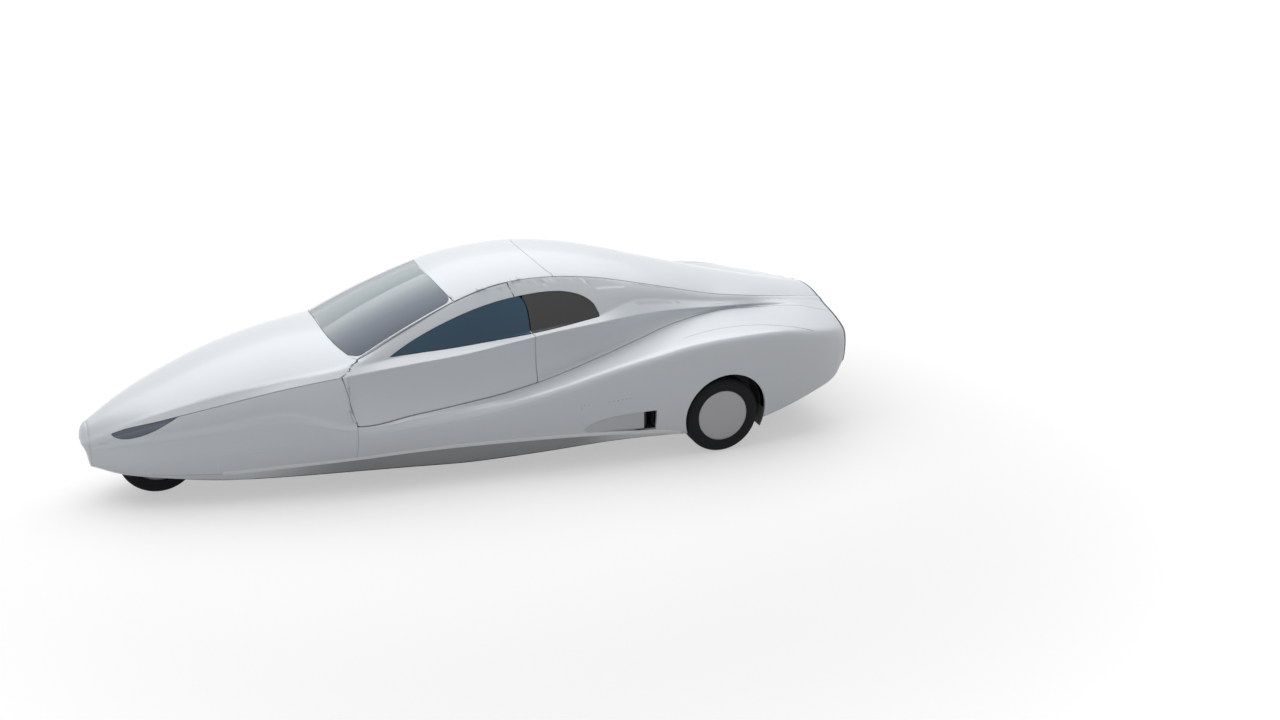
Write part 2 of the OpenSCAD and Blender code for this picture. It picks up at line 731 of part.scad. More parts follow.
module nose_tray() {
    color(dark) difference() {
        belly(nose_x, firewall_x - seam_gap, panel_t);
        linear_extrude(500) front_well_plan(seam_gap);
    }
}

module floor_pan() {
    color(dark) belly(firewall_x - 2 * seam_gap, bulkhead_x, floor_t);
}

module rear_tray() {
    color(dark) difference() {
        belly(bulkhead_x - seam_gap, tail_x, panel_t);
        both_sides() wheel_space(arch_r, well_y);
    }
}

// Wall across the body that follows the inside of its section at station x
module cross_wall(x, t, s_list, depth) {
    translate([x, 0, 0]) rotate([90, 0, 90]) linear_extrude(t)
        polygon([for (s = s_list) let (p = body_point(x + t / 2, s, depth)) [p[1], p[2]]]);
}

// Jacking pads under the belly, each with a socket for a jack's pin
module jack_pads() {
    color([0.6, 0.6, 0.62]) for (p = jack_places) {
        low = min(belly_heights(p[0] - jack_r, p[0] + jack_r, p[1] - jack_r, p[1] + jack_r, 0));
        translate([p[0], p[1], low - seat_gap - jack_h]) difference() {
            cylinder(r = jack_r, h = jack_h);
            translate([0, 0, -1]) cylinder(r = jack_socket_r, h = jack_socket_l + 1);
        }
    }
}

module firewall() {
    color(dark) cross_wall(firewall_x + wall_t, wall_t, around_all, panel_t + 4);
}

module rear_bulkhead() {
    color(dark) cross_wall(bulkhead_x - wall_t, wall_t,
        both(concat(steps(crown, rail, 3), [waist], steps(belt, foot, 4))), panel_t + 5);
}

// Cabin frame under the windscreen edges and the roof: two rails, the header bow and the
// bow behind the doors
module cabin_frame() {
    inset = panel_t + rail_drop;
    rail_a = 0.8;
    rail_b = 0.97;
    color(dark) union() {
        for (side = [-1, 1])
            panel(side > 0 ? [rail_a, rail_b] : [-rail_b, -rail_a], function (s) cowl_x - 30,
                function (s) bulkhead_x, frame_t, inset, 0, 0);
        for (x = [header_x - 40, post_top_x + 40])
            panel(both(steps(crown, 5 / 6, 5)), function (s) x, function (s) x - frame_w,
                frame_t - 8, panel_t + bow_drop, 0, 0);
    }
}

// Axis of the steering column, from the wheel into the dashboard
column_r = 20;
column_a = [dash_x - 118, seat_y, dash_z - 60];
column_dir = [cos(90 - wheel_tilt), 0, -sin(90 - wheel_tilt)];
column_l = 146;

module dashboard() {
    color(dark) difference() {
        translate([dash_x, -dash_w / 2, 0]) rotate([90, 0, 0]) mirror([0, 0, 1])
            linear_extrude(dash_w) polygon([[dash_l, dash_z - 120], [dash_l, dash_z - 20],
                [dash_l * 0.75, dash_z], [40, dash_z], [0, dash_z - 40], [20, dash_z - 190],
                [90, dash_z - 230], [dash_l, dash_z - 230]]);
        rod(column_a, column_a + column_dir * (column_l + 1), column_r + seat_gap);
    }
}

// Steering wheel with its column, in front of the left seat
module steering_wheel() {
    color(dark) translate([dash_x - 120, seat_y, dash_z - 60]) rotate([0, -wheel_tilt, 0]) {
        rotate_extrude() translate([wheel_d / 2 - 14, 0]) circle(r = 14);
        cylinder(r = 46, h = 30, center = true);
        for (a = [0, 180]) rotate([0, 0, a + 90]) translate([30, -16, -8]) cube([wheel_d / 2 - 46, 32, 14]);
    }
    color(dark) rod(column_a, column_a + column_dir * column_l, column_r);
}

// Seat of the left or right occupant, a cushion, a back with wings and a plinth
module seat() {
    h = seat_z;
    color([0.25, 0.25, 0.27]) translate([seat_x, seat_y - seat_w / 2, 0]) {
        rotate([90, 0, 0]) mirror([0, 0, 1]) linear_extrude(seat_w) polygon([
            [500, h - 110], [520, h - 40], [500, h], [440, h + 6], [60, h - 40],
            [60 - 560 * sin(recline), h - 40 + 560 * cos(recline)],
            [20 - 590 * sin(recline), h - 30 + 590 * cos(recline)],
            [-60 - 560 * sin(recline), h - 60 + 560 * cos(recline)],
            [-60, h - 90], [0, h - 150], [420, h - 130]]);
        for (y = [0, seat_w - 70]) translate([0, y, 0]) rotate([90, 0, 0]) mirror([0, 0, 1])
            linear_extrude(70) polygon([
                [480, h - 20], [440, h + 30], [110, h + 6],
                [110 - 360 * sin(recline), h + 20 + 360 * cos(recline)],
                [40 - 420 * sin(recline), h + 10 + 420 * cos(recline)], [-20, h - 60]]);
    }
    y0 = seat_y - seat_w / 2 + 60;
    z0 = foot_z(seat_x + 20, seat_x + 400, y0, y0 + seat_w - 120, floor_t);
    color(dark) translate([seat_x + 20, y0, z0]) cube([380, seat_w - 120, h - 150 - z0]);
}

module seats() {
    both_sides() seat();
}

// Space over the front wheel, its walls and roof drawn in by a margin
module front_well_space(margin, low_z) {
    top = well_top_z - margin;
    end_x = front_axle_x + front_well_l / 2;
    intersection() {
        translate([0, 0, low_z]) linear_extrude(top - low_z) front_well_plan(-margin);
        rotate([90, 0, 0]) linear_extrude(2 * front_well_half, center = true)
            polygon([[end_x - front_well_l, low_z], [end_x - front_well_l, top], [well_slope_x, top],
                [end_x, top - well_slope_drop], [end_x, low_z]]);
    }
}

// Closed box over the front wheel, open below
module front_wheel_well() {
    color(dark) difference() {
        front_well_space(0, well_low_z);
        front_well_space(well_roof_t, well_low_z - 1);
        steer_frame() cylinder(r = spindle_r + 4, h = 600);
    }
}

// Places its children in the frame of the steering axis, with the wheel's centre at 0
module steer_frame() {
    translate([front_axle_x, 0, tyre_r]) rotate([0, -rake, 0]) children();
}
fork_top = tyre_r + 16;

module steering_head() {
    color([0.5, 0.5, 0.52]) difference() {
        translate([front_axle_x - 78, -44, well_top_z + 0.3]) cube([116, 88, head_h]);
        steer_frame() cylinder(r = spindle_r + fit, h = 600);
    }
}

// Fork with its legs, axle and spindle
module front_fork() {
    leg_y = front_tyre_w / 2 + fork_clear;
    color([0.5, 0.5, 0.52]) steer_frame() {
        for (y = [leg_y, -leg_y - leg_t]) translate([-26, y, -30]) cube([52, leg_t, fork_top + 52]);
        translate([-32, -leg_y - leg_t, fork_top]) cube([64, 2 * (leg_y + leg_t), 22]);
        translate([0, 0, fork_top + 10]) cylinder(r = spindle_r, h = spindle_l);
        rotate([90, 0, 0]) cylinder(r = axle_r, h = 2 * leg_y + 20, center = true);
    }
}

// Profile of a wheel's rim and plain covers, as half section from the axis outwards
module rim_profile(w, both_faces) {
    y = w / 2;
    difference() {
        union() {
            translate([axle_r + fit, both_faces ? -y : -y * 0.7])
                square([hub_r - axle_r, both_faces ? w : y * 1.7]);
            translate([axle_r + fit, y - rim_t]) square([cover_r - axle_r, rim_t]);
            if (both_faces) translate([axle_r + fit, -y]) square([cover_r - axle_r, rim_t]);
            translate([cover_r - 8, -y]) square([rim_r - cover_r + 8, w]);
        }
    }
}

module tyre_profile(w) {
    b = w / 2;
    h = tyre_r - rim_r;
    polygon([for (a = [[rim_r + 0.2, -b * 0.86], [rim_r + h * 0.2, -b * 0.97], [rim_r + h * 0.45, -b],
        [rim_r + h * 0.72, -b * 0.95], [tyre_r - 5, -b * 0.8], [tyre_r, -b * 0.62], [tyre_r, b * 0.62],
        [tyre_r - 5, b * 0.8], [rim_r + h * 0.72, b * 0.95], [rim_r + h * 0.45, b],
        [rim_r + h * 0.2, b * 0.97], [rim_r + 0.2, b * 0.86]]) a]);
}
rim_r = cover_r + 6;

module wheel(w, both_faces) {
    color([0.58, 0.58, 0.58]) rotate([-90, 0, 0]) rotate_extrude() rim_profile(w, both_faces);
}

module tyre(w) {
    color([0.07, 0.07, 0.08]) rotate([-90, 0, 0]) rotate_extrude() tyre_profile(w);
}

module front_wheel() {
    translate([front_axle_x, 0, tyre_r]) wheel(front_tyre_w - 6, true);
}

module front_tyre() {
    translate([front_axle_x, 0, tyre_r]) tyre(front_tyre_w);
}

// Places its children at the centre of the left rear wheel
module at_rear() {
    translate([rear_axle_x, wheel_y - rear_tyre_w / 2, tyre_r]) children();
}

module rear_wheel_left() {
    at_rear() wheel(rear_tyre_w, false);
}

module rear_tyre_left() {
    at_rear() tyre(rear_tyre_w - 8);
}

module rear_wheel_right() {
    mirror([0, 1, 0]) rear_wheel_left();
}

module rear_tyre_right() {
    mirror([0, 1, 0]) rear_tyre_left();
}

// Half-round liners inside the rear fenders, with a wall on the inboard side
module rear_wheel_wells() {
    color(dark) both_sides() difference() {
        translate([arch_x, well_y, arch_z]) rotate([-90, 0, 0]) cylinder(r = arch_r - 0.4, h = well_w);
        translate([arch_x, well_y + well_t, arch_z]) rotate([-90, 0, 0])
            cylinder(r = arch_r - 0.4 - well_t, h = well_w);
        translate([arch_x - arch_r - 1, well_y - 1, -200])
            cube([2 * arch_r + 2, well_w + 2, well_cut_z + 200]);
        translate([rear_axle_x, well_y - 1, tyre_r]) rotate([-90, 0, 0]) cylinder(r = hub_r, h = 20);
    }
}

// Trailing arms with the upright and the stub axle of each rear wheel
module rear_arms() {
    pivot_x = rear_axle_x + 40 + arm_l - 80;
    pivot_z = foot_z(pivot_x, pivot_x + 80, well_y - arm_w, well_y - 12, panel_t);
    color([0.45, 0.45, 0.47]) both_sides() {
        translate([rear_axle_x, well_y - arm_w + 20, tyre_r]) rotate([-90, 0, 0])
            cylinder(r = axle_r, h = wheel_y - rim_t - 10 - (well_y - arm_w + 20));
        translate([rear_axle_x - 45, well_y - arm_w, tyre_r - 45]) cube([90, arm_w - 12, 90]);
        translate([rear_axle_x + 40, well_y - arm_w, tyre_r - 30]) cube([arm_l, arm_w - 12, 50]);
        translate([pivot_x, well_y - arm_w, pivot_z]) cube([80, arm_w - 12, tyre_r - 20 - pivot_z]);
    }
}

module engine_block() {
    z0 = foot_z(engine_x - engine_l, engine_x, 0, engine_w / 2, panel_t);
    top_z = fan_z + engine_over_shaft;
    color([0.4, 0.4, 0.42]) difference() {
        translate([engine_x - engine_l, -engine_w / 2, z0]) cube([engine_l, engine_w, top_z - z0]);
        translate([engine_x - engine_l - 1, 0, fan_z]) rotate([0, 90, 0]) cylinder(r = shaft_r + fit, h = 60);
    }
}

duct_r = fan_r + fan_clear;
// Duct round the fan, narrowing to the nozzle in the tail
module fan_duct() {
    color(dark) translate([fan_x, 0, fan_z]) rotate([0, -90, 0]) rotate_extrude()
        polygon([[duct_r, -duct_front_l], [duct_r, duct_straight], [nozzle_r, nozzle_l - nozzle_straight],
            [nozzle_r, nozzle_l], [nozzle_r + duct_t, nozzle_l],
            [nozzle_r + duct_t, nozzle_l - nozzle_straight],
            [duct_r + duct_t, duct_straight], [duct_r + duct_t, -duct_front_l],
            [duct_r + 12, -duct_front_l - 10], [duct_r + 4, -duct_front_l - 10]]);
}
nozzle_l = fan_x - tail_x + tail_t - 1;
nozzle_straight = tail_t + 4;
duct_front_l = duct_l / 3;

// Hub behind the fan with the vanes that hold it in the duct
module fan_stator() {
    color([0.3, 0.3, 0.32]) translate([fan_x - stator_back, 0, fan_z]) rotate([0, -90, 0]) difference() {
        union() {
            cylinder(r = fan_hub_r, h = stator_l);
            for (a = [0 : vanes - 1]) rotate([0, 0, a * 360 / vanes])
                translate([fan_hub_r - 4, -2, 4]) cube([stator_r - fan_hub_r + 4, 4, stator_l - 8]);
        }
        translate([0, 0, -1]) cylinder(r = shaft_r + fit, h = stator_l * 0.6);
    }
}
stator_back = 46;
stator_l = 60;
stator_r = duct_r - seat_gap;
duct_straight = stator_back + stator_l + 2;

// Fan with its blades, hub and drive shaft
module fan() {
    color([0.22, 0.23, 0.25]) translate([fan_x, 0, fan_z]) rotate([0, -90, 0]) {
        translate([0, 0, -36]) cylinder(r = fan_hub_r, h = 72);
        translate([0, 0, -(engine_x - engine_l - fan_x) - 40])
            cylinder(r = shaft_r, h = engine_x - engine_l - fan_x + 40 + 60);
        for (a = [0 : blades - 1]) rotate([0, 0, a * 360 / blades]) blade();
    }
}

// Twisted fan blade through three sections
module blade() {
    rings = [for (u = steps(0, 1, 4))
        let (r = mix(fan_hub_r - 6, fan_r, u), turn = mix(30, 62, u), c = mix(58, 46, u))
        [for (p = [[-0.5, 0], [-0.2, 0.07], [0.2, 0.06], [0.5, 0], [0.2, -0.02], [-0.2, -0.02]])
            [r, c * (p[0] * sin(turn) - p[1] * cos(turn)), c * (p[0] * cos(turn) + p[1] * sin(turn))]]];
    closed_loft(rings);
}

// Tail panel that closes the body round the nozzle
module tail_panel() {
    mid_z = 640 * kz;
    rings = [[0, 1], [0.6, 0.985], [1, 0.95]];
    color(silver_side) difference() {
        closed_loft([for (g = rings) [for (i = [len(around_all) - 1 : -1 : 0])
            let (p = body_point(tail_x, around_all[i]))
            [mix(tail_x - seam_gap, tail_tip_x, g[0]), p[1] * g[1], mix(mid_z, p[2], g[1])]]]);
        translate([tail_tip_x - 50, 0, fan_z]) rotate([0, 90, 0])
            cylinder(r = nozzle_r + duct_t + 0.4, h = 100);
        both_sides() tail_lamp(0.3);
    }
}

module tail_lamp(margin) {
    translate([tail_tip_x - 10, lamp_in_y - margin, lamp_low_z - margin])
        cube([10 + lamp_t, tail_lamp_l + 2 * margin, tail_lamp_h + 2 * margin]);
}

module tail_lamps() {
    color([0.6, 0.1, 0.1]) both_sides() intersection() {
        tail_lamp(0);
        translate([tail_tip_x, 0, 0]) cube([100, 2000, 2000]);
    }
}

// Pocket behind each intake: its walls, the ramp and a vane in the opening behind the ramp
module intake_ducts() {
    lines = concat([crest], steps(crest + 0.2, sill, 4));
    skin = panel_grid(lines, function (s) intake_front_x + 20, function (s) intake_rear_x - 20, 1, 0, 0,
        function (x) 0);
    front_y = body_point(intake_front_x, 5.8)[1] - ramp_front_in;
    rear_y = body_point(intake_rear_x, 5.8)[1] - ramp_rear_in;
    in_y = front_y - intake_deep;
    ramp_end_x = intake_rear_x + intake_open_l;
    color([0.5, 0.5, 0.5]) both_sides() intersection() {
        difference() {
            intake_block(0.5, in_y);
            difference() {
                intake_block(intake_wall, in_y + intake_wall);
                linear_extrude(1000) polygon([[intake_front_x + 20, front_y], [ramp_end_x, rear_y],
                    [ramp_end_x, rear_y - ramp_t], [intake_front_x + 20, front_y - ramp_t]]);
                translate([ramp_end_x - 40, rear_y - 165, 0]) rotate([0, 0, 16]) cube([5, 90, 1000]);
            }
        }
        plate(skin, [for (row = skin) [for (p = row) [p[0], in_y - 1, p[2]]]]);
    }
}

hood();
nose_cap();
front_sides();
headlamps();
windscreen();
roof();
rear_deck();
rear_sides();
quarter_glass();
pods();
sills();
nose_tray();
floor_pan();
rear_tray();
tail_panel();
tail_lamps();
intake_ducts();
cabin_frame();
firewall();
rear_bulkhead();
dashboard();
steering_wheel();
seats();
door_hinges();
door_left();
door_glass_left();
door_right();
door_glass_right();
front_wheel_well();
rear_wheel_wells();
steering_head();
front_fork();
front_wheel();
front_tyre();
rear_arms();
rear_wheel_left();
rear_tyre_left();
rear_wheel_right();
rear_tyre_right();
engine_block();
jack_pads();
fan_duct();
fan_stator();
fan();
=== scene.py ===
import bpy
import bmesh
import math
import numpy as np
from mathutils import Matrix, Vector


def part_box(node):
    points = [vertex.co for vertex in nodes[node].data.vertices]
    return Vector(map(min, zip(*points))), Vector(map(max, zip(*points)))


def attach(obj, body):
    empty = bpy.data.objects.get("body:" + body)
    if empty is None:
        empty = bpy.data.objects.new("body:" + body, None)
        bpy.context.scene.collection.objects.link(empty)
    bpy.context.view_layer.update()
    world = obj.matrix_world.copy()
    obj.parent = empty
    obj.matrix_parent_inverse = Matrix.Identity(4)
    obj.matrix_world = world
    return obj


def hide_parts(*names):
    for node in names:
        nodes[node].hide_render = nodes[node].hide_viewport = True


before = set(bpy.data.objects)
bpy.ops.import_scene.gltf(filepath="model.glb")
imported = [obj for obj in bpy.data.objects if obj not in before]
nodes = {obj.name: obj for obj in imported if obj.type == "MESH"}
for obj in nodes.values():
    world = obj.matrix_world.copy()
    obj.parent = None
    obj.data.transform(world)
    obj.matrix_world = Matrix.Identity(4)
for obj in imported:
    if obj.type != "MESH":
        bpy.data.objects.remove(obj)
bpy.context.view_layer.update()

SIDES = (("left", False), ("right", True))

# Sections of the body, as in the part's source, in millimetres
# x, crown z, rail y z, waist y z, belt y z, foot y z, crest y z, sill y z, keel y z
SECTIONS = np.array([
    [2620, 565, 100, 492, 110, 482, 120, 470, 128, 420, 126, 380, 100, 290, 50, 262],
    [2440, 672, 200, 580, 212, 571, 225, 558, 240, 490, 240, 420, 222, 258, 150, 215],
    [2200, 782, 303, 680, 322, 665, 345, 632, 352, 540, 350, 450, 320, 238, 255, 190],
    [1800, 932, 412, 792, 432, 768, 460, 727, 468, 600, 468, 480, 425, 226, 375, 158],
    [1400, 1032, 487, 862, 512, 843, 547, 810, 562, 660, 565, 500, 498, 238, 445, 143],
    [950, 1082, 548, 937, 585, 912, 625, 873, 650, 517, 665, 470, 567, 250, 507, 133],
    [550, 1262, 505, 1100, 570, 948, 645, 903, 638, 535, 693, 490, 618, 264, 555, 122],
    [206, 1385, 462, 1235, 590, 958, 656, 925, 636, 563, 720, 510, 660, 267, 597, 112],
    [-110, 1428, 425, 1305, 582, 978, 648, 957, 624, 593, 757, 563, 697, 263, 635, 120],
    [-450, 1428, 408, 1310, 568, 1002, 618, 980, 602, 650, 805, 645, 742, 256, 675, 136],
    [-800, 1372, 397, 1262, 530, 1022, 583, 990, 566, 730, 845, 735, 785, 240, 712, 155],
    [-1100, 1290, 375, 1183, 448, 1072, 523, 985, 520, 800, 872, 795, 818, 215, 745, 158],
    [-1400, 1195, 352, 1095, 400, 1020, 460, 963, 460, 862, 885, 845, 842, 180, 775, 150],
    [-1740, 1090, 322, 995, 355, 950, 400, 918, 402, 884, 880, 858, 848, 185, 790, 155],
    [-2060, 995, 300, 932, 322, 905, 345, 880, 352, 858, 858, 845, 820, 235, 740, 210],
    [-2400, 906, 238, 864, 285, 853, 335, 844, 382, 837, 780, 770, 765, 330, 672, 310],
    [-2560, 868, 214, 837, 276, 822, 340, 808, 408, 796, 716, 733, 700, 378, 632, 352],
    [-2650, 846, 200, 818, 270, 801, 340, 787, 420, 773, 656, 698, 642, 462, 584, 428]]) / 1000.0
COWL_ROW = 5
CROWN, RAIL, WAIST, BELT, FOOT, CREST, SILL, KEEL, MIDDLE = range(9)
BULGES = np.array([0, 12, 0, 6, 8, 16, 4, 6]) / 1000.0
BULGE_SHARE = 0.08
ARCH_POWER = 2.2
CHANNEL = 0.024
CHANNEL_END, CHANNEL_FADE = -2.420, 0.560
# Radius over which each line's crease is rounded
ROUND = np.array([0.0, 0.016, 0.012, 0.006, 0.016, 0.055, 0.012, 0.02, 0.0])

NOSE_X = 2.62
TAIL_X = -2.65
COWL = (0.906, 1.051)
HEADER = (0.206, 0.310)
SEAM_X, SEAM_SWEEP = -0.380, 0.140
STEP_TOP, STEP_FOOT = 1.028, 0.950
DOOR_FOOT_X = -0.330
DOOR_GAP = 0.006
SEAM = 0.0016
TYRE_R = 0.272
COVER_R = 0.183
FRONT_AXLE, REAR_AXLE = 2.175, -1.615
ARCH = (-1.635, 0.286, 0.305)
FAN_Z = 0.635
# Thickness of panels, doors and glass, and how far side glass is set in
PANEL_T, DOOR_T, GLASS_T, GLASS_IN = 0.022, 0.034, 0.006, 0.004
# Height of the rail seam's post at the two ends of the door's rear edge: z, x
POST = ((0.985, -0.300), (1.240, -0.212))


def make_slopes():
    last = len(SECTIONS) - 1
    out = np.zeros_like(SECTIONS)
    for i in range(last + 1):
        for k in range(SECTIONS.shape[1]):
            a = i if (k == 1 and i == COWL_ROW + 1) else max(i - 1, 0)
            b = i if (k == 1 and i == COWL_ROW) else min(i + 1, last)
            out[i, k] = (SECTIONS[b, k] - SECTIONS[a, k]) / (SECTIONS[b, 0] - SECTIONS[a, 0])
    return out


SLOPES = make_slopes()


def rows_at(x):
    """Section rows at each station in x."""
    x = np.asarray(x, float)
    i = np.clip(np.searchsorted(-SECTIONS[:, 0], -x, side="right") - 1, 0, len(SECTIONS) - 2)
    a, b = SECTIONS[i], SECTIONS[i + 1]
    l = (b[..., 0] - a[..., 0])[..., None]
    t = ((x - a[..., 0]) / l[..., 0])[..., None]
    h1 = (1 + 2 * t) * (1 - t) ** 2
    h2 = t * (1 - t) ** 2
    h3 = t * t * (3 - 2 * t)
    h4 = t * t * (t - 1)
    return h1 * a + h2 * l * SLOPES[i] + h3 * b + h4 * l * SLOPES[i + 1]


def line_points(r):
    """Points [y, z] of the lines from the crown to the middle of the belly, for each row."""
    out = np.zeros(r.shape[:-1] + (9, 2))
    out[..., 0, 1] = r[..., 1]
    for n in range(1, 8):
        out[..., n, 0] = r[..., 2 * n]
        out[..., n, 1] = r[..., 2 * n + 1]
    out[..., 8, 1] = r[..., 15] - 0.004
    return out


def take(lines, n):
    return np.take_along_axis(lines, n[..., None, None], axis=-2)[..., 0, :]


def raw_point(x, lines, s):
    n = np.clip(np.floor(s).astype(int), 0, 7)
    t = (s - n)[..., None]
    a, b = take(lines, n), take(lines, n + 1)
    d = b - a
    d = d / np.maximum(np.linalg.norm(d, axis=-1, keepdims=True), 1e-9)
    out = np.stack([-d[..., 1], d[..., 0]], -1)
    step = STEP_TOP + (STEP_FOOT - STEP_TOP) * 0.5
    bulge = BULGES[n]
    # The channel sinks in over a short length behind the step
    sink = np.clip((step - 0.001 - x) / 0.004, 0, 1)
    deep = CHANNEL * np.clip((x - CHANNEL_END) / CHANNEL_FADE, 0, 1)
    bulge = np.where(n == BELT, bulge * (1 - sink) - deep * sink, bulge)
    bulge = np.minimum(bulge, BULGE_SHARE * np.linalg.norm(b - a, axis=-1))
    p = a + (b - a) * t + out * (bulge[..., None] * 4 * t * (1 - t))
    t0 = np.clip(s, 0, None)[..., None]
    arch = np.concatenate([b[..., :1] * t0, a[..., 1:] - (a[..., 1:] - b[..., 1:]) * t0 ** ARCH_POWER], -1)
    return np.where((n == 0)[..., None], arch, p)


def slide(lines, s, d):
    """Line number s after a way of d metres along the section."""
    span = np.linalg.norm(np.diff(lines, axis=-2), axis=-1)
    get = lambda n: np.take_along_axis(span, np.clip(n, 0, 7)[..., None], -1)[..., 0]
    up = np.asarray(d) >= 0
    n = np.where(up, np.floor(s + 1e-9), np.ceil(s - 1e-9) - 1).astype(int)
    s2 = s + d / get(n)
    over, under = s2 > n + 1, s2 < n
    hi = n + 1 + (s2 - (n + 1)) * get(n) / get(n + 1)
    lo = n - (n - s2) * get(n) / get(n - 1)
    return np.clip(np.abs(np.where(over, hi, np.where(under, lo, s2))), 0, 8)


def smooth_point(x, lines, s):
    """Body point with its creases rounded, in the section's plane."""
    near = np.clip(np.round(s).astype(int), 0, 8)
    r = ROUND[near]
    gap = np.linalg.norm(raw_point(x, lines, s) - take(lines, near), axis=-1)
    w = r * np.clip(2 - gap / np.maximum(r, 1e-6), 0, 1)
    total = 0
    for k, g in ((-1, 1), (-0.5, 2), (0, 3), (0.5, 2), (1, 1)):
        total = total + g * raw_point(x, lines, slide(lines, s, w * k) if k else s)
    return total / 9


def body(x, s, depth=0.0):
    """Points of the body at stations x and lines s; s below zero is the right side."""
    x, s, depth = np.broadcast_arrays(np.asarray(x, float), np.asarray(s, float), np.asarray(depth, float))
    lines = line_points(rows_at(x))
    q = np.clip(np.abs(s), 0, 8)
    p = smooth_point(x, lines, q)
    if np.any(depth != 0):
        a = smooth_point(x, lines, slide(lines, q, np.full(q.shape, -0.003)))
        b = smooth_point(x, lines, slide(lines, q, np.full(q.shape, 0.003)))
        a[..., 0] = np.where(q < 0.01, -b[..., 0], a[..., 0])
        b[..., 0] = np.where(q > 7.99, -a[..., 0], b[..., 0])
        d = b - a
        d = d / np.maximum(np.linalg.norm(d, axis=-1, keepdims=True), 1e-9)
        p = p - np.stack([-d[..., 1], d[..., 0]], -1) * depth[..., None]
    y = p[..., 0] * np.where(s < 0, -1, 1)
    return np.stack([x, y, p[..., 1]], -1)


def cowl_line(s):
    a = np.abs(s)
    return np.where(a < RAIL, COWL[1] + (COWL[0] - COWL[1]) * a ** 3,
                    COWL[0] + (STEP_TOP - COWL[0]) * (a - RAIL) / (BELT - RAIL))


def header_line(s):
    return HEADER[1] + (HEADER[0] - HEADER[1]) * np.minimum(np.abs(s), 1) ** 2


def roof_seam(s):
    return SEAM_X - SEAM_SWEEP * np.minimum(np.abs(s), 1) ** 2


def step_x(s):
    return STEP_TOP + (STEP_FOOT - STEP_TOP) * np.clip(s - BELT, 0, 1)


def door_front(s):
    return np.where(s < BELT, cowl_line(s), step_x(s))


def post_x(z):
    (z0, x0), (z1, x1) = POST
    return x0 + (x1 - x0) * (z - z0) / (z1 - z0)


def door_seam(s):
    s = np.asarray(s, float)
    z = body(np.full(s.shape, -0.300), np.minimum(s, WAIST))[..., 2]
    top = post_x(z)
    foot = top + (DOOR_FOOT_X - top) * (s - WAIST) / (FOOT - WAIST)
    return np.where(s < WAIST, top, foot)


# Number of cells between each line and the next, and places beside each rounded line
CELLS = (18, 9, 3, 12, 10, 12, 4, 6)
BESIDE = (-1.6, -0.9, -0.4, 0, 0.4, 0.9, 1.6)


def line_list(a, b, fine=1.0):
    """Places (line number, way in metres) from line a to line b, close beside the creases."""
    out = []
    for n in range(int(math.floor(a)), int(math.ceil(b))):
        cells = max(1, int(round(CELLS[n] * fine)))
        lo, hi = max(a, n), min(b, n + 1)
        for k in range(cells + 1):
            s = n + k / cells
            if lo + 0.2 / cells < s < hi - 0.2 / cells and n + 0.5 / cells < s < n + 1 - 0.5 / cells:
                out.append((s, 0.0))
    for n in range(int(math.ceil(a)), int(math.floor(b)) + 1):
        if ROUND[n] and a < n < b:
            out += [(float(n), k * ROUND[n]) for k in BESIDE]
        elif a < n < b:
            out.append((float(n), 0.0))
        elif ROUND[n] and n == a:
            out += [(float(n), k * ROUND[n]) for k in BESIDE if k > 0]
        elif ROUND[n] and n == b:
            out += [(float(n), k * ROUND[n]) for k in BESIDE if k < 0]
    out += [(float(a), 0.0), (float(b), 0.0)]
    return out


def grid_of(a, b, front, rear, rows, gap_a=SEAM, gap_b=SEAM, fine=1.0, both=False):
    """Stations X and lines S of a panel's grid, from front to rear."""
    places = line_list(a, b, fine)
    base = np.array([p[0] for p in places])
    ways = np.array([p[1] for p in places])
    middle = 0.5 * (float(front(base).mean()) + float(rear(base).mean()))
    probe = line_points(rows_at(np.full(base.shape, middle)))
    order = np.argsort(slide(probe, base, ways), kind="stable")
    base, ways = base[order], ways[order]
    ways[0] += 0 if both else gap_a
    ways[-1] -= gap_b
    u = rows if np.ndim(rows) else np.linspace(0, 1, rows + 1)
    f, r = front(base), rear(base)
    X = f[None, :] + (r - f)[None, :] * np.asarray(u)[:, None]
    lines = line_points(rows_at(X))
    S = slide(lines, np.broadcast_to(base, X.shape), np.broadcast_to(ways, X.shape))
    S = np.maximum.accumulate(S, axis=1)
    if both:
        X = np.concatenate([X[:, :0:-1], X], 1)
        S = np.concatenate([-S[:, :0:-1], S], 1)
    return X, S


def make_object(name, verts, faces, mats, smooth=True, face_mat=None, sharp=35):
    me = bpy.data.meshes.new(name)
    me.from_pydata([tuple(v) for v in verts], [], faces)
    ob = bpy.data.objects.new(name, me)
    bpy.context.scene.collection.objects.link(ob)
    for m in (mats if isinstance(mats, (list, tuple)) else [mats]):
        me.materials.append(m)
    if face_mat is not None:
        me.polygons.foreach_set("material_index", face_mat)
    if smooth:
        me.polygons.foreach_set("use_smooth", [True] * len(me.polygons))
        if sharp:
            mark_sharp(me, sharp)
    me.validate()
    me.update()
    return ob


def mark_sharp(me, angle):
    bm = bmesh.new()
    bm.from_mesh(me)
    limit = math.radians(angle)
    for e in bm.edges:
        if len(e.link_faces) == 2 and e.calc_face_angle(0) > limit:
            e.smooth = False
    bm.to_mesh(me)
    bm.free()


def fix_normals(ob):
    bm = bmesh.new()
    bm.from_mesh(ob.data)
    bmesh.ops.recalc_face_normals(bm, faces=bm.faces)
    bm.to_mesh(ob.data)
    bm.free()


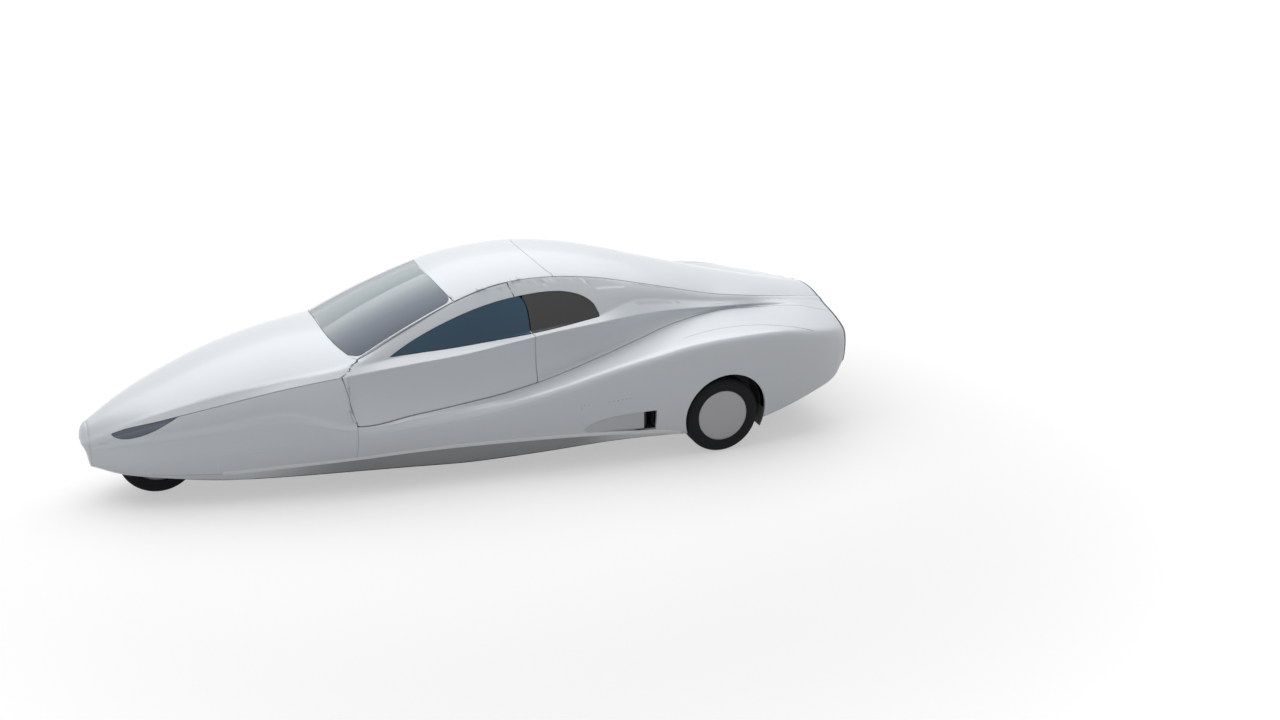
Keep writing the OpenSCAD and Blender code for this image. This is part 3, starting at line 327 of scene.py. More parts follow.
def soften(ob, width, segments=2):
    """Rounds the edges of a mesh."""
    bm = bmesh.new()
    bm.from_mesh(ob.data)
    sharp = [e for e in bm.edges if len(e.link_faces) == 2 and e.calc_face_angle(0) > 0.5]
    bmesh.ops.bevel(bm, geom=sharp, offset=width, segments=segments, affect="EDGES", profile=0.5,
                    clamp_overlap=True)
    bm.to_mesh(ob.data)
    bm.free()
    ob.data.polygons.foreach_set("use_smooth", [True] * len(ob.data.polygons))
    mark_sharp(ob.data, 50)


def bands(rows, n, start=0):
    """Quads between rings of n points each."""
    return [(start + i * n + j, start + i * n + (j + 1) % n, start + (i + 1) * n + (j + 1) % n,
             start + (i + 1) * n + j) for i in range(rows - 1) for j in range(n)]


def solid_grid(name, outer, inner, mats):
    """Closed plate between two grids of points."""
    m, n = outer.shape[:2]
    verts = np.concatenate([outer.reshape(-1, 3), inner.reshape(-1, 3)])
    k, faces = m * n, []
    for i in range(m - 1):
        for j in range(n - 1):
            a, b, c, d = i * n + j, i * n + j + 1, (i + 1) * n + j + 1, (i + 1) * n + j
            faces += [(a, b, c, d), (k + d, k + c, k + b, k + a)]
    rim = [j for j in range(n)] + [i * n + n - 1 for i in range(1, m)]
    rim += [(m - 1) * n + j for j in range(n - 2, -1, -1)] + [i * n for i in range(m - 2, 0, -1)]
    for q in range(len(rim)):
        a, b = rim[q], rim[(q + 1) % len(rim)]
        faces.append((b, a, k + a, k + b))
    ob = make_object(name, verts, faces, mats)
    fix_normals(ob)
    return ob


def mirrored(points, mir):
    return points * np.array([1, -1, 1]) if mir else points


def plate(name, X, S, t, mats, keep=None, surface=None, set_in=0.0, chamfer=0.0012, mirror=False,
          inner_mat=0):
    """Panel of thickness t over the grid, trimmed where keep(points) is below zero."""
    surface = surface or body
    m, n = X.shape
    node = lambda i, j: i * n + j
    px, ps = [X.ravel()], [S.ravel()]
    if keep is None:
        inside = np.ones(m * n, bool)
    else:
        inside = keep(surface(X, S, set_in).reshape(-1, 3)) >= 0
    ids = np.arange(m * n).reshape(m, n)
    cross = {}
    if not inside.all():
        pairs = np.concatenate([
            np.stack([ids[:, :-1].ravel(), ids[:, 1:].ravel()], 1),
            np.stack([ids[:-1].ravel(), ids[1:].ravel()], 1)])
        pairs = pairs[inside[pairs[:, 0]] != inside[pairs[:, 1]]]
        a = np.where(inside[pairs[:, 0]], pairs[:, 0], pairs[:, 1])
        b = np.where(inside[pairs[:, 0]], pairs[:, 1], pairs[:, 0])
        xf, sf = X.ravel(), S.ravel()
        lo, hi = np.zeros(len(a)), np.ones(len(a))
        for _ in range(14):
            mid = (lo + hi) / 2
            ok = keep(surface(xf[a] + (xf[b] - xf[a]) * mid, sf[a] + (sf[b] - sf[a]) * mid, set_in)) >= 0
            lo, hi = np.where(ok, mid, lo), np.where(ok, hi, mid)
        px.append(xf[a] + (xf[b] - xf[a]) * lo)
        ps.append(sf[a] + (sf[b] - sf[a]) * lo)
        for k, (p, q) in enumerate(pairs):
            cross[(int(p), int(q))] = m * n + k
    polys = []
    for i in range(m - 1):
        for j in range(n - 1):
            c = (node(i, j), node(i, j + 1), node(i + 1, j + 1), node(i + 1, j))
            flags = [inside[k] for k in c]
            if not any(flags):
                continue
            if all(flags):
                polys.append(c)
                continue
            poly = []
            for k in range(4):
                p, q = c[k], c[(k + 1) % 4]
                if inside[p]:
                    poly.append(p)
                if inside[p] != inside[q]:
                    poly.append(cross[(min(p, q), max(p, q))])
            if len(poly) > 2:
                polys.append(tuple(poly))
    px, ps = np.concatenate(px), np.concatenate(ps)
    used = sorted(set(k for f in polys for k in f))
    new = {k: i for i, k in enumerate(used)}
    polys = [tuple(new[k] for k in f) for f in polys]
    px, ps = px[used], ps[used]
    outer = surface(px, ps, set_in)
    inner = surface(px, ps, set_in + t)
    edges = {}
    for f, poly in enumerate(polys):
        for k in range(len(poly)):
            edges[(poly[k], poly[(k + 1) % len(poly)])] = f
    rim = [(a, b) for (a, b) in edges if (b, a) not in edges]
    out = np.zeros_like(outer)
    for a, b in rim:
        poly = polys[edges[(a, b)]]
        p = outer[list(poly)]
        normal = np.cross(p[1] - p[0], p[-1] - p[0])
        way = np.cross(outer[b] - outer[a], normal)
        size = np.linalg.norm(way)
        if size > 1e-12:
            out[a] += way / size
            out[b] += way / size
    ring_ids = sorted(set(k for e in rim for k in e))
    ring = surface(px[ring_ids], ps[ring_ids], set_in + chamfer)
    size = np.linalg.norm(out, axis=1, keepdims=True)
    outer = outer - np.where(size > 1e-9, out / np.maximum(size, 1e-9), 0) * chamfer
    k1, k2 = len(outer), len(outer) + len(ring_ids)
    ring_of = {k: k1 + i for i, k in enumerate(ring_ids)}
    verts = np.concatenate([outer, ring, inner])
    faces = list(polys)
    faces += [tuple(k2 + k for k in reversed(f)) for f in polys]
    kinds = [0] * len(polys) + [inner_mat] * len(polys)
    for a, b in rim:
        faces.append((b, a, ring_of[a], ring_of[b]))
        faces.append((ring_of[b], ring_of[a], k2 + a, k2 + b))
        kinds += [0, 0]
    if mirror:
        verts = verts * np.array([1, -1, 1])
        faces = [tuple(reversed(f)) for f in faces]
    return make_object(name, verts, faces, mats, face_mat=kinds)


# Materials
def new_mat(name):
    m = bpy.data.materials.new(name)
    m.use_nodes = True
    nt = m.node_tree
    return m, nt, nt.nodes["Principled BSDF"]


def math_node(nt, operation, a, b, clamp=False):
    node = nt.nodes.new("ShaderNodeMath")
    node.operation = operation
    node.use_clamp = clamp
    nt.links.new(a, node.inputs[0])
    nt.links.new(b, node.inputs[1])
    return node.outputs[0]


def map_range(nt, value, start, end, low=0.0, high=1.0, smooth=False):
    node = nt.nodes.new("ShaderNodeMapRange")
    if smooth:
        node.interpolation_type = "SMOOTHSTEP"
    set_inputs(node, {"From Min": start, "From Max": end, "To Min": low, "To Max": high})
    nt.links.new(value, node.inputs["Value"])
    return node.outputs["Result"]


def ray_sum(nt, *kinds):
    """One for rays of any of these kinds, else zero."""
    path = nt.nodes.new("ShaderNodeLightPath")
    total = path.outputs[kinds[0]]
    for kind in kinds[1:]:
        total = math_node(nt, "ADD", total, path.outputs[kind], clamp=True)
    return total


def place_along(nt, axis):
    """The point's own coordinate along X, Y or Z."""
    tc = nt.nodes.new("ShaderNodeTexCoord")
    split = nt.nodes.new("ShaderNodeSeparateXYZ")
    nt.links.new(tc.outputs["Object"], split.inputs[0])
    return split.outputs[axis]


def set_inputs(node, values):
    for key, value in values.items():
        node.inputs[key].default_value = value


def noise_ramp(nt, scale, detail, low, high):
    """Object-space noise between two colours."""
    tc = nt.nodes.new("ShaderNodeTexCoord")
    no = nt.nodes.new("ShaderNodeTexNoise")
    set_inputs(no, {"Scale": scale, "Detail": detail, "Roughness": 0.55})
    nt.links.new(tc.outputs["Object"], no.inputs["Vector"])
    ra = nt.nodes.new("ShaderNodeValToRGB")
    for el, at, colour in zip(ra.color_ramp.elements, (0.35, 0.65), (low, high)):
        el.position = at
        el.color = (*colour, 1)
    nt.links.new(no.outputs["Fac"], ra.inputs["Fac"])
    return no.outputs["Fac"], ra.outputs["Color"]


def bump(nt, bsdf, height, strength, distance):
    bu = nt.nodes.new("ShaderNodeBump")
    set_inputs(bu, {"Strength": strength, "Distance": distance})
    nt.links.new(height, bu.inputs["Height"])
    nt.links.new(bu.outputs["Normal"], bsdf.inputs["Normal"])


def paint(name, low, high, metallic, rough, coat):
    m, nt, b = new_mat(name)
    noise, colour = noise_ramp(nt, 900, 2, low, high)
    nt.links.new(colour, b.inputs["Base Color"])
    set_inputs(b, {"Metallic": metallic, "Roughness": rough, "Coat Weight": coat, "Coat Roughness": 0.06})
    bump(nt, b, noise, 0.02, 0.0004)
    return m


def plastic(name, low, high, rough, scale=700, strength=0.25, metallic=0.0):
    m, nt, b = new_mat(name)
    noise, colour = noise_ramp(nt, scale, 4, low, high)
    nt.links.new(colour, b.inputs["Base Color"])
    nt.links.new(map_range(nt, noise, 0, 1, rough - 0.08, rough + 0.08), b.inputs["Roughness"])
    b.inputs["Metallic"].default_value = metallic
    bump(nt, b, noise, strength, 0.0006)
    return m


def clear_shader(b, clear, rough, coat):
    set_inputs(b, {"Transmission Weight": clear, "Roughness": rough, "IOR": 1.46, "Coat Weight": coat,
                   "Coat Roughness": 0.01})


def glass(name, tint_low, tint_high, clear=0.6, rough=0.02, coat=1.0):
    m, nt, b = new_mat(name)
    nt.links.new(noise_ramp(nt, 1.6, 1, tint_low, tint_high)[1], b.inputs["Base Color"])
    clear_shader(b, clear, rough, coat)
    return m


# Tint across the windscreen, dark at the edges, with a painted reflection as the pale band in the middle:
# place from right to left, colour
SCREEN_TINT_AND_REFLECTION = ((0.0, (0.06, 0.09, 0.14)), (0.30, (0.10, 0.14, 0.19)), (0.42, (0.62, 0.70, 0.74)),
               (0.70, (0.50, 0.58, 0.60)), (0.84, (0.22, 0.28, 0.36)), (1.0, (0.03, 0.07, 0.14)))
SCREEN_HALF = 0.53


def banded_glass(name, clear):
    """Glass whose colour runs from a dark edge over a pale middle, a painted reflection, to a dark edge."""
    m, nt, b = new_mat(name)
    across = map_range(nt, place_along(nt, "Y"), -SCREEN_HALF, SCREEN_HALF)
    ra = nt.nodes.new("ShaderNodeValToRGB")
    while len(ra.color_ramp.elements) < len(SCREEN_TINT_AND_REFLECTION):
        ra.color_ramp.elements.new(0.5)
    for el, (at, colour) in zip(ra.color_ramp.elements, SCREEN_TINT_AND_REFLECTION):
        el.position = at
        el.color = (*colour, 1)
    nt.links.new(across, ra.inputs["Fac"])
    nt.links.new(ra.outputs["Color"], b.inputs["Base Color"])
    clear_shader(b, clear, 0.03, 0.3)
    return m


PAINT = ((0.665, 0.695, 0.73), (0.71, 0.74, 0.775), 0.12, 0.4, 0.2)
silver = paint("paint_silver", *PAINT)
# Lighter paint for the sill lip: a painted highlight where the lip's top catches the light
lip_highlight_paint = paint("paint_lip_painted_highlight", (0.86, 0.88, 0.90), (0.90, 0.92, 0.94), 0.0, 0.3, 0.4)
silver_in = plastic("panel_inside", (0.10, 0.10, 0.105), (0.13, 0.13, 0.135), 0.6)
trim = plastic("trim_dark", (0.028, 0.029, 0.031), (0.045, 0.046, 0.048), 0.55)
# Sill paint: silver at the nose and tail, with painted shade in grey between them where the sill lies in
# shadow, with a fade at either end
SILL_SHADE_GREY = (0.30, 0.31, 0.325, 1)
SILL_FADES = ((1.75, 0.95), (-0.95, -0.55))
sill_shade_paint = paint("paint_sill_painted_shade", *PAINT)
nt = sill_shade_paint.node_tree
fades = [map_range(nt, place_along(nt, "X"), lo, hi, smooth=True) for lo, hi in SILL_FADES]
mix = nt.nodes.new("ShaderNodeMix")
mix.data_type = "RGBA"
nt.links.new(math_node(nt, "MULTIPLY", *fades), mix.inputs[0])
nt.links.new(nt.nodes["Color Ramp"].outputs["Color"], mix.inputs[6])
mix.inputs[7].default_value = SILL_SHADE_GREY
nt.links.new(mix.outputs[2], nt.nodes["Principled BSDF"].inputs["Base Color"])
screen_glass = banded_glass("glass_screen", 0.45)
side_glass = glass("glass_side", (0.008, 0.075, 0.150), (0.014, 0.100, 0.185), 0.25, coat=0.0)
quarter_mat = glass("glass_quarter", (0.055, 0.053, 0.052), (0.068, 0.066, 0.064), 0.25, coat=0.0)
lamp_glass = glass("glass_lamp", (0.045, 0.075, 0.13), (0.07, 0.105, 0.17), 0.25)
red_lens = glass("lens_red", (0.25, 0.01, 0.01), (0.32, 0.02, 0.015), 0.4, 0.08)
metal = plastic("metal_satin", (0.40, 0.405, 0.41), (0.50, 0.505, 0.51), 0.38, 300, 0.1, 0.9)
cast = plastic("metal_cast", (0.06, 0.06, 0.062), (0.11, 0.11, 0.112), 0.6, 120, 0.5, 0.5)
lining = plastic("lining_weave", (0.05, 0.05, 0.053), (0.09, 0.09, 0.094), 0.85, 1400, 0.5)
cabin_black = plastic("cabin_black", (0.018, 0.018, 0.02), (0.03, 0.03, 0.032), 0.6, 900, 0.35)
leather = plastic("seat_leather", (0.20, 0.18, 0.165), (0.26, 0.235, 0.215), 0.5, 260, 0.5)
ramp_mat = plastic("ramp_grey", (0.50, 0.515, 0.535), (0.56, 0.575, 0.595), 0.4, 700, 0.05, 0.15)
vane_mat = plastic("vane_grey", (0.16, 0.165, 0.17), (0.21, 0.215, 0.22), 0.45, 300, 0.1, 0.4)
seam_mat = plastic("seam_dark", (0.10, 0.102, 0.108), (0.14, 0.142, 0.148), 0.6)
hatch_mat = plastic("seam_pale", (0.80, 0.81, 0.83), (0.86, 0.87, 0.89), 0.5)
seal_pale = plastic("seal_pale", (0.60, 0.615, 0.64), (0.66, 0.675, 0.70), 0.6)
seal_mat = plastic("seal_grey", (0.40, 0.41, 0.43), (0.46, 0.47, 0.49), 0.6)
cover_mat = plastic("cover_grey", (0.47, 0.475, 0.485), (0.53, 0.535, 0.545), 0.45, 500, 0.05, 0.15)
tyre_mat = plastic("tyre_rubber", (0.009, 0.010, 0.012), (0.017, 0.018, 0.021), 0.78, 240, 0.35)
tyre_mat.node_tree.nodes["Principled BSDF"].inputs["Specular IOR Level"].default_value = 0.2
blade_mat = plastic("blade_composite", (0.035, 0.036, 0.038), (0.06, 0.061, 0.064), 0.35, 600, 0.1)

for name, mat in (("nose_tray", trim), ("floor_pan", trim), ("rear_tray", trim), ("cabin_frame", lining),
                  ("firewall", lining), ("rear_bulkhead", lining), ("dashboard", cabin_black),
                  ("steering_wheel", cabin_black), ("seats", leather), ("door_hinges", silver),
                  ("front_wheel_well", trim), ("rear_wheel_wells", trim), ("steering_head", metal),
                  ("front_fork", metal), ("rear_arms", metal), ("engine_block", cast), ("jack_pads", metal),
                  ("fan_duct", trim), ("fan_stator", blade_mat), ("fan", blade_mat), ("intake_ducts", metal),
                  ("tail_lamps", red_lens)):
    ob = nodes[name]
    ob.data.materials.clear()
    ob.data.materials.append(mat)


def fit_piece(ob, body_name, slot, *replaced):
    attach(ob, body_name)
    if replaced:
        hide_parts(*replaced)
    return ob


def const(v):
    return lambda s: np.full(np.shape(s), float(v))


def painted(name, grid, node, mir=False, inner=None, **shape):
    """Body panel in silver over a grid, in place of a node."""
    ob = plate(name, *grid, PANEL_T, [silver, inner or silver_in], mirror=mir, inner_mat=1, **shape)
    return fit_piece(ob, "body", "body_paint", node)


def panel_rows(front_x, rear_x, cell=0.022):
    return max(4, int(round(abs(front_x - rear_x) / cell)))


# Body panels
grid = grid_of(CROWN, BELT, const(NOSE_X), lambda s: cowl_line(s) + SEAM, panel_rows(2.62, 1.0), both=True)
painted("hood_panel", grid, "hood")
grid = grid_of(CROWN, RAIL, lambda s: header_line(s) - SEAM, lambda s: roof_seam(s) + SEAM, 34, both=True)
painted("roof_panel", grid, "roof", inner=lining)
grid = grid_of(CROWN, RAIL, lambda s: roof_seam(s) - SEAM, const(TAIL_X), panel_rows(-0.45, -2.65), both=True)
painted("deck_panel", grid, "rear_deck")

LAMP_FRONT, LAMP_REAR = 2.485, 2.0667


def lamp_drop(x):
    """Depth of the lamp below the belt line, in lines of the section."""
    u = np.clip((LAMP_FRONT - x) / (LAMP_FRONT - LAMP_REAR), 0, 1)
    return 0.95 * np.sin(np.pi * u ** 0.55) * (u > 0) * (u < 1)


def lamp_grid(front, rear, rows, cols, gap):
    u = 0.5 - 0.5 * np.cos(np.linspace(0, 1, rows + 1) * np.pi)
    X = np.repeat((front + (rear - front) * u)[:, None], cols + 1, 1)
    lines = line_points(rows_at(X))
    f = np.linspace(0, 1, cols + 1)[None, :]
    top = slide(lines, np.full(X.shape, float(BELT)), np.full(X.shape, gap))
    low = slide(lines, BELT + lamp_drop(X), np.full(X.shape, -gap))
    return X, top + (low - top) * f


# Front sides, with the headlamp's crescent cut out
def outside_lamp(p):
    x, z = p[..., 0], p[..., 2]
    lines = line_points(rows_at(x))
    edge = raw_point(x, lines, BELT + lamp_drop(x))[..., 1]
    return np.where((x < LAMP_FRONT) & (x > LAMP_REAR), edge - 0.0015 - z, 1.0)


for side, mir in SIDES:
    grid = grid_of(BELT, SILL, const(NOSE_X), step_x, panel_rows(2.62, 1.0, 0.012))
    painted("front_side_" + side, grid, "front_sides", mir, keep=outside_lamp)
    X, S = lamp_grid(LAMP_FRONT - 0.004, LAMP_REAR + 0.004, 48, 8, 0.0012)
    ob = plate("lamp_lens_" + side, X, S, GLASS_T, [lamp_glass], set_in=0.001, mirror=mir)
    fit_piece(ob, "body", "lamp_lens", "headlamps")


# Windscreen
SCREEN_BULGE = 0.016


def screen(u, s, depth=0.0):
    """Windscreen point; u is the way up from the foot and s the way across."""
    s_, u_, d_ = np.broadcast_arrays(s, u, depth)
    low = body(cowl_line(s_), s_)
    top = body(header_line(s_), s_)
    a = np.stack([low[..., 0] - top[..., 0], top[..., 2] - low[..., 2]], -1)
    a = a / np.linalg.norm(a, axis=-1, keepdims=True)
    out = np.stack([a[..., 1], s_ * 0.45, a[..., 0]], -1)
    out = out / np.linalg.norm(out, axis=-1, keepdims=True)
    return low + (top - low) * u_[..., None] + out * (SCREEN_BULGE * 4 * u_ * (1 - u_) - d_)[..., None]


U, T = np.meshgrid(np.linspace(0.001, 0.999, 44), np.linspace(-0.985, 0.985, 60), indexing="ij")
ob = plate("windscreen_glass", U, T, GLASS_T, [screen_glass], surface=screen)
fit_piece(ob, "body", "tinted_glass", "windscreen")


# Side windows: front and rear ends, and where the top is highest along the way between them
WINDOW_FRONT, WINDOW_REAR = 0.690, -0.815
WINDOW_HIGH, WINDOW_PEAK = 0.240, 0.62


def window_way(x):
    return np.clip((WINDOW_FRONT - x) / (WINDOW_FRONT - WINDOW_REAR), 0, 1)


def window_low(x):
    return 0.946 + 0.072 * window_way(x) ** 1.5


def window_top(x):
    u = window_way(x)
    a = np.clip(u / WINDOW_PEAK, 0, 1)
    b = np.clip((u - WINDOW_PEAK) / (1 - WINDOW_PEAK), 0, 1)
    rise = np.where(u < WINDOW_PEAK, np.sin(np.pi / 2 * a ** 0.86), np.sqrt(1 - b ** 2.6))
    return window_low(x) + WINDOW_HIGH * rise


def glass_split(z):
    """Curved joint between the door's glass and the fixed glass behind it."""
    return -0.299 + 0.071 * np.clip((z - 0.985) / 0.251, 0, 1.04) ** 6


def in_window(p, margin, ahead):
    split = p[..., 0] - glass_split(p[..., 2])
    return np.minimum(in_opening(p), (split if ahead else -split) - 0.0025) - margin


def in_opening(p):
    """The whole window opening, on both sides of the split."""
    x, z = p[..., 0], p[..., 2]
    d = np.minimum(window_top(x) - z, z - window_low(x))
    return np.minimum(d, np.minimum(WINDOW_FRONT - x, x - WINDOW_REAR))


def side_keep(p):
    return -in_opening(p)


for side, mir in SIDES:
    rows = panel_rows(1.0, -0.3, 0.009)
    grid = grid_of(RAIL, FOOT, lambda s: door_front(s) - DOOR_GAP, lambda s: door_seam(s) + DOOR_GAP / 2,
                   rows, DOOR_GAP, DOOR_GAP, 1.6)
    ob = plate("door_panel_" + side, *grid, DOOR_T, [silver, lining], keep=side_keep, mirror=mir,
               chamfer=0.002, inner_mat=1)
    fit_piece(ob, "door_" + side + "_body", "body_paint", "door_" + side)
    grid = grid_of(1.03, 2.6, const(0.70), const(-0.31), 112, 0, 0, 1.6)
    ob = plate("door_window_" + side, *grid, GLASS_T, [side_glass], keep=lambda p: in_window(p, 0.0006, True),
               set_in=GLASS_IN, mirror=mir)
    fit_piece(ob, "door_" + side + "_body", "tinted_glass", "door_glass_" + side)
    rows = panel_rows(-0.3, -2.65, 0.012)
    grid = grid_of(RAIL, FOOT, lambda s: door_seam(s) - DOOR_GAP / 2, const(TAIL_X), rows, fine=1.4)
    painted("rear_side_" + side, grid, "rear_sides", mir, keep=side_keep)
    grid = grid_of(1.03, 2.6, const(-0.20), const(-0.83), 80, 0, 0, 1.6)
    ob = plate("quarter_window_" + side, *grid, GLASS_T, [quarter_mat],
               keep=lambda p: in_window(p, 0.0006, False), set_in=GLASS_IN, mirror=mir)
    fit_piece(ob, "body", "tinted_glass", "quarter_glass")


# Intake mouth ahead of the rear wheel, in side view
INTAKE_X = (-0.600, -1.115)
INTAKE_OPEN = -1.035
INTAKE_Z, INTAKE_RISE, INTAKE_DROP = 0.290, 0.102, 0.048


def intake_fat(x):
    u = np.clip((INTAKE_X[0] - x) / (INTAKE_X[0] - INTAKE_X[1]), 0, 1)
    return (1 - (1 - u) ** 3.2) ** 0.6


def intake_edges(x):
    fat = intake_fat(x)
    return INTAKE_Z - INTAKE_DROP * fat, INTAKE_Z + INTAKE_RISE * fat


def in_intake(p):
    x, z = p[..., 0], p[..., 2]
    low, top = intake_edges(x)
    return np.minimum(np.minimum(z - low, top - z), np.minimum(INTAKE_X[0] - x, x - INTAKE_X[1]))


def ramp_y(x):
    return 0.7675 + (0.8003 - 0.7675) * (-0.580 - x) / 0.455


def intake_pieces(side, mir):
    # Ramp that sinks slowly below the pod's skin
    u = np.linspace(0.012, 1, 34) ** 1.3
    x = (INTAKE_X[0] + (INTAKE_OPEN - INTAKE_X[0]) * u)[:, None]
    v = np.linspace(0, 1, 9)[None, :]
    low, top = intake_edges(x)
    low, top = low + 0.0006, top - 0.0006
    z = low + (top - low) * v
    y = ramp_y(x) + 0.0015 * np.sin(np.pi * v)
    outer = np.stack([np.broadcast_to(x, z.shape), y, z], -1)
    inner = outer - np.array([0, 0.004, 0])
    ramp = solid_grid("intake_ramp_" + side, mirrored(outer, mir), mirrored(inner, mir), [ramp_mat])
    fit_piece(ramp, "body", "body_paint", "intake_ducts")
    # Open duct behind the ramp: four walls and a back, dark inside
    low, top = intake_edges(np.array([INTAKE_OPEN, INTAKE_X[1]]))
    depth = (0.785, 0.604)
    rings = []
    for y in depth:
        rings.append([(INTAKE_OPEN - 0.001, y, low[0] + 0.001), (INTAKE_X[1] + 0.0012, y, low[1] + 0.001),
                      (INTAKE_X[1] + 0.0012, y, top[1] - 0.001), (INTAKE_OPEN - 0.001, y, top[0] - 0.001)])
    wall = 0.003
    small = []
    for ring in rings:
        c = np.mean(ring, axis=0)
        shrink = np.array([1 - 2 * wall / 0.08, 1, 1 - 2 * wall / 0.14])
        small.append([tuple(c + (np.array(q) - c) * shrink) for q in ring])
    small[1] = [(a, b + wall, c) for a, b, c in small[1]]
    verts = np.array(rings[0] + rings[1] + small[0] + small[1])
    faces = []
    for k in range(4):
        h = (k + 1) % 4
        faces += [(k, h, 4 + h, 4 + k), (8 + h, 8 + k, 12 + k, 12 + h), (h, k, 8 + k, 8 + h)]
    faces += [(4, 5, 6, 7), (15, 14, 13, 12)]
    duct = make_object("intake_duct_" + side, mirrored(verts, mir), faces, [cabin_black])
    fix_normals(duct)
    soften(duct, 0.001)
    fit_piece(duct, "body", "dark_trim", "intake_ducts")
    # Three-cornered vane that turns the air inwards
    zl, zt = low[0] + 0.006, top[0] - 0.008
    xa, xb = INTAKE_OPEN - 0.010, INTAKE_OPEN - 0.034
    vane = np.array([(xa, 0.778, zt), (xb, 0.762, zt), (xa, 0.778, zl), (xb - 0.010, 0.740, zl),
                     (xa, 0.640, zt), (xb, 0.640, zt), (xa, 0.640, zl), (xb - 0.010, 0.640, zl)])
    faces = [(0, 1, 3, 2), (4, 6, 7, 5), (0, 4, 5, 1), (2, 3, 7, 6), (1, 5, 7, 3), (0, 2, 6, 4)]
    ob = make_object("intake_vane_" + side, mirrored(vane, mir), faces, [vane_mat])
    fix_normals(ob)
    soften(ob, 0.0012)
    fit_piece(ob, "body", "bare_metal", "intake_ducts")


for side, mir in SIDES:
    intake_pieces(side, mir)


def off_arch(p):
    return np.hypot(p[..., 0] - ARCH[0], p[..., 2] - ARCH[1]) - ARCH[2]


def pod_keep(p):
    return np.minimum(off_arch(p), -in_intake(p))


for side, mir in SIDES:
    rows = panel_rows(0.97, -2.65, 0.012)
    grid = grid_of(FOOT, SILL, lambda s: step_x(s) - SEAM, const(TAIL_X), rows, fine=1.5)
    painted("pod_" + side, grid, "pods", mir, keep=pod_keep, chamfer=0.002)


WELL_HALF_X, WELL_HALF_Y = 0.290, 0.1961


def sill_keep(p):
    """Above zero off the rear arch and off the front wheel's well, which narrows to its ends."""
    dx = np.abs(p[..., 0] - FRONT_AXLE)
    well = WELL_HALF_Y * np.clip(1 - (dx / WELL_HALF_X - 0.76) / 0.24 * 0.5, 0.5, 1) + 0.0006
    inside = np.minimum(well - np.abs(p[..., 1]), WELL_HALF_X + 0.0005 - dx)
    return np.minimum(off_arch(p), -inside)


for side, mir in SIDES:
    rows = panel_rows(2.62, -2.65, 0.016)
    X, S = grid_of(SILL, KEEL, const(NOSE_X), const(TAIL_X), rows, fine=1.2)
    # The sill's paint carries painted shade: grey under the middle of the car
    ob = plate("sill_" + side, X, S, PANEL_T, [sill_shade_paint, silver_in], keep=sill_keep, mirror=mir,
               inner_mat=1)
    fit_piece(ob, "body", "body_paint", "sills")


# Nose cap and tail panel, closed by rings that shrink towards a point on the centre plane
def cap(name, x0, x1, mid_z, rings, mats, hole=None, flip=False, lean=None):
    left = line_list(CROWN, MIDDLE, 0.8)
    base = np.array([p[0] for p in left])
    ways = np.array([p[1] for p in left])
    lines = line_points(rows_at(np.full(base.shape, x0)))
    s = np.sort(slide(lines, base, ways))
    s = np.concatenate([s, -s[-2:0:-1]])
    edge = body(np.full(s.shape, x0), s)
    verts = []
    n = len(s)
    for g, k in rings:
        ring = edge.copy()
        reach = 1.0
        if lean:
            low, high, least = lean
            reach = least + (1 - least) * np.clip((edge[:, 2] - low) / (high - low), 0, 1)
        ring[:, 0] = x0 + (x1 - x0) * g * reach
        ring[:, 1] *= k
        ring[:, 2] = mid_z + (ring[:, 2] - mid_z) * k
        verts += list(ring)
    last = (len(rings) - 1) * n
    if hole is None:
        faces = bands(len(rings), n) + [tuple(last + j for j in range(n)), tuple(range(n - 1, -1, -1))]
    else:
        cz, r = hole
        ang = [math.atan2(v[2] - cz, v[1]) for v in verts[last:last + n]]
        for x in (x1, x0):
            verts += [np.array([x, r * math.cos(a), cz + r * math.sin(a)]) for a in ang]
        back = last + 2 * n
        faces = bands(len(rings) + 2, n)
        faces += [(back + j, back + (j + 1) % n, (j + 1) % n, j) for j in range(n)]
    if not flip:
        faces = [f[::-1] for f in faces]
    return make_object(name, verts, faces, mats)


# Rings of the caps: share of the way out, share of the edge's size
NOSE_RINGS = [(0.016, 1), (0.1, 0.992), (0.25, 0.962), (0.45, 0.9), (0.65, 0.81), (0.8, 0.7), (0.92, 0.56),
              (1, 0.4)]
ob = cap("nose_panel", NOSE_X, 2.67, 0.4135, NOSE_RINGS, [silver], lean=(0.28, 0.46, 0.25))
fit_piece(ob, "body", "body_paint", "nose_cap")
TAIL_RINGS = [(0.02, 1), (0.3, 0.995), (0.6, 0.985), (0.85, 0.968), (1, 0.95)]
ob = cap("tail_panel_skin", TAIL_X, -2.67, FAN_Z, TAIL_RINGS, [trim], hole=(FAN_Z, 0.1664), flip=True)
fit_piece(ob, "body", "dark_trim", "tail_panel")


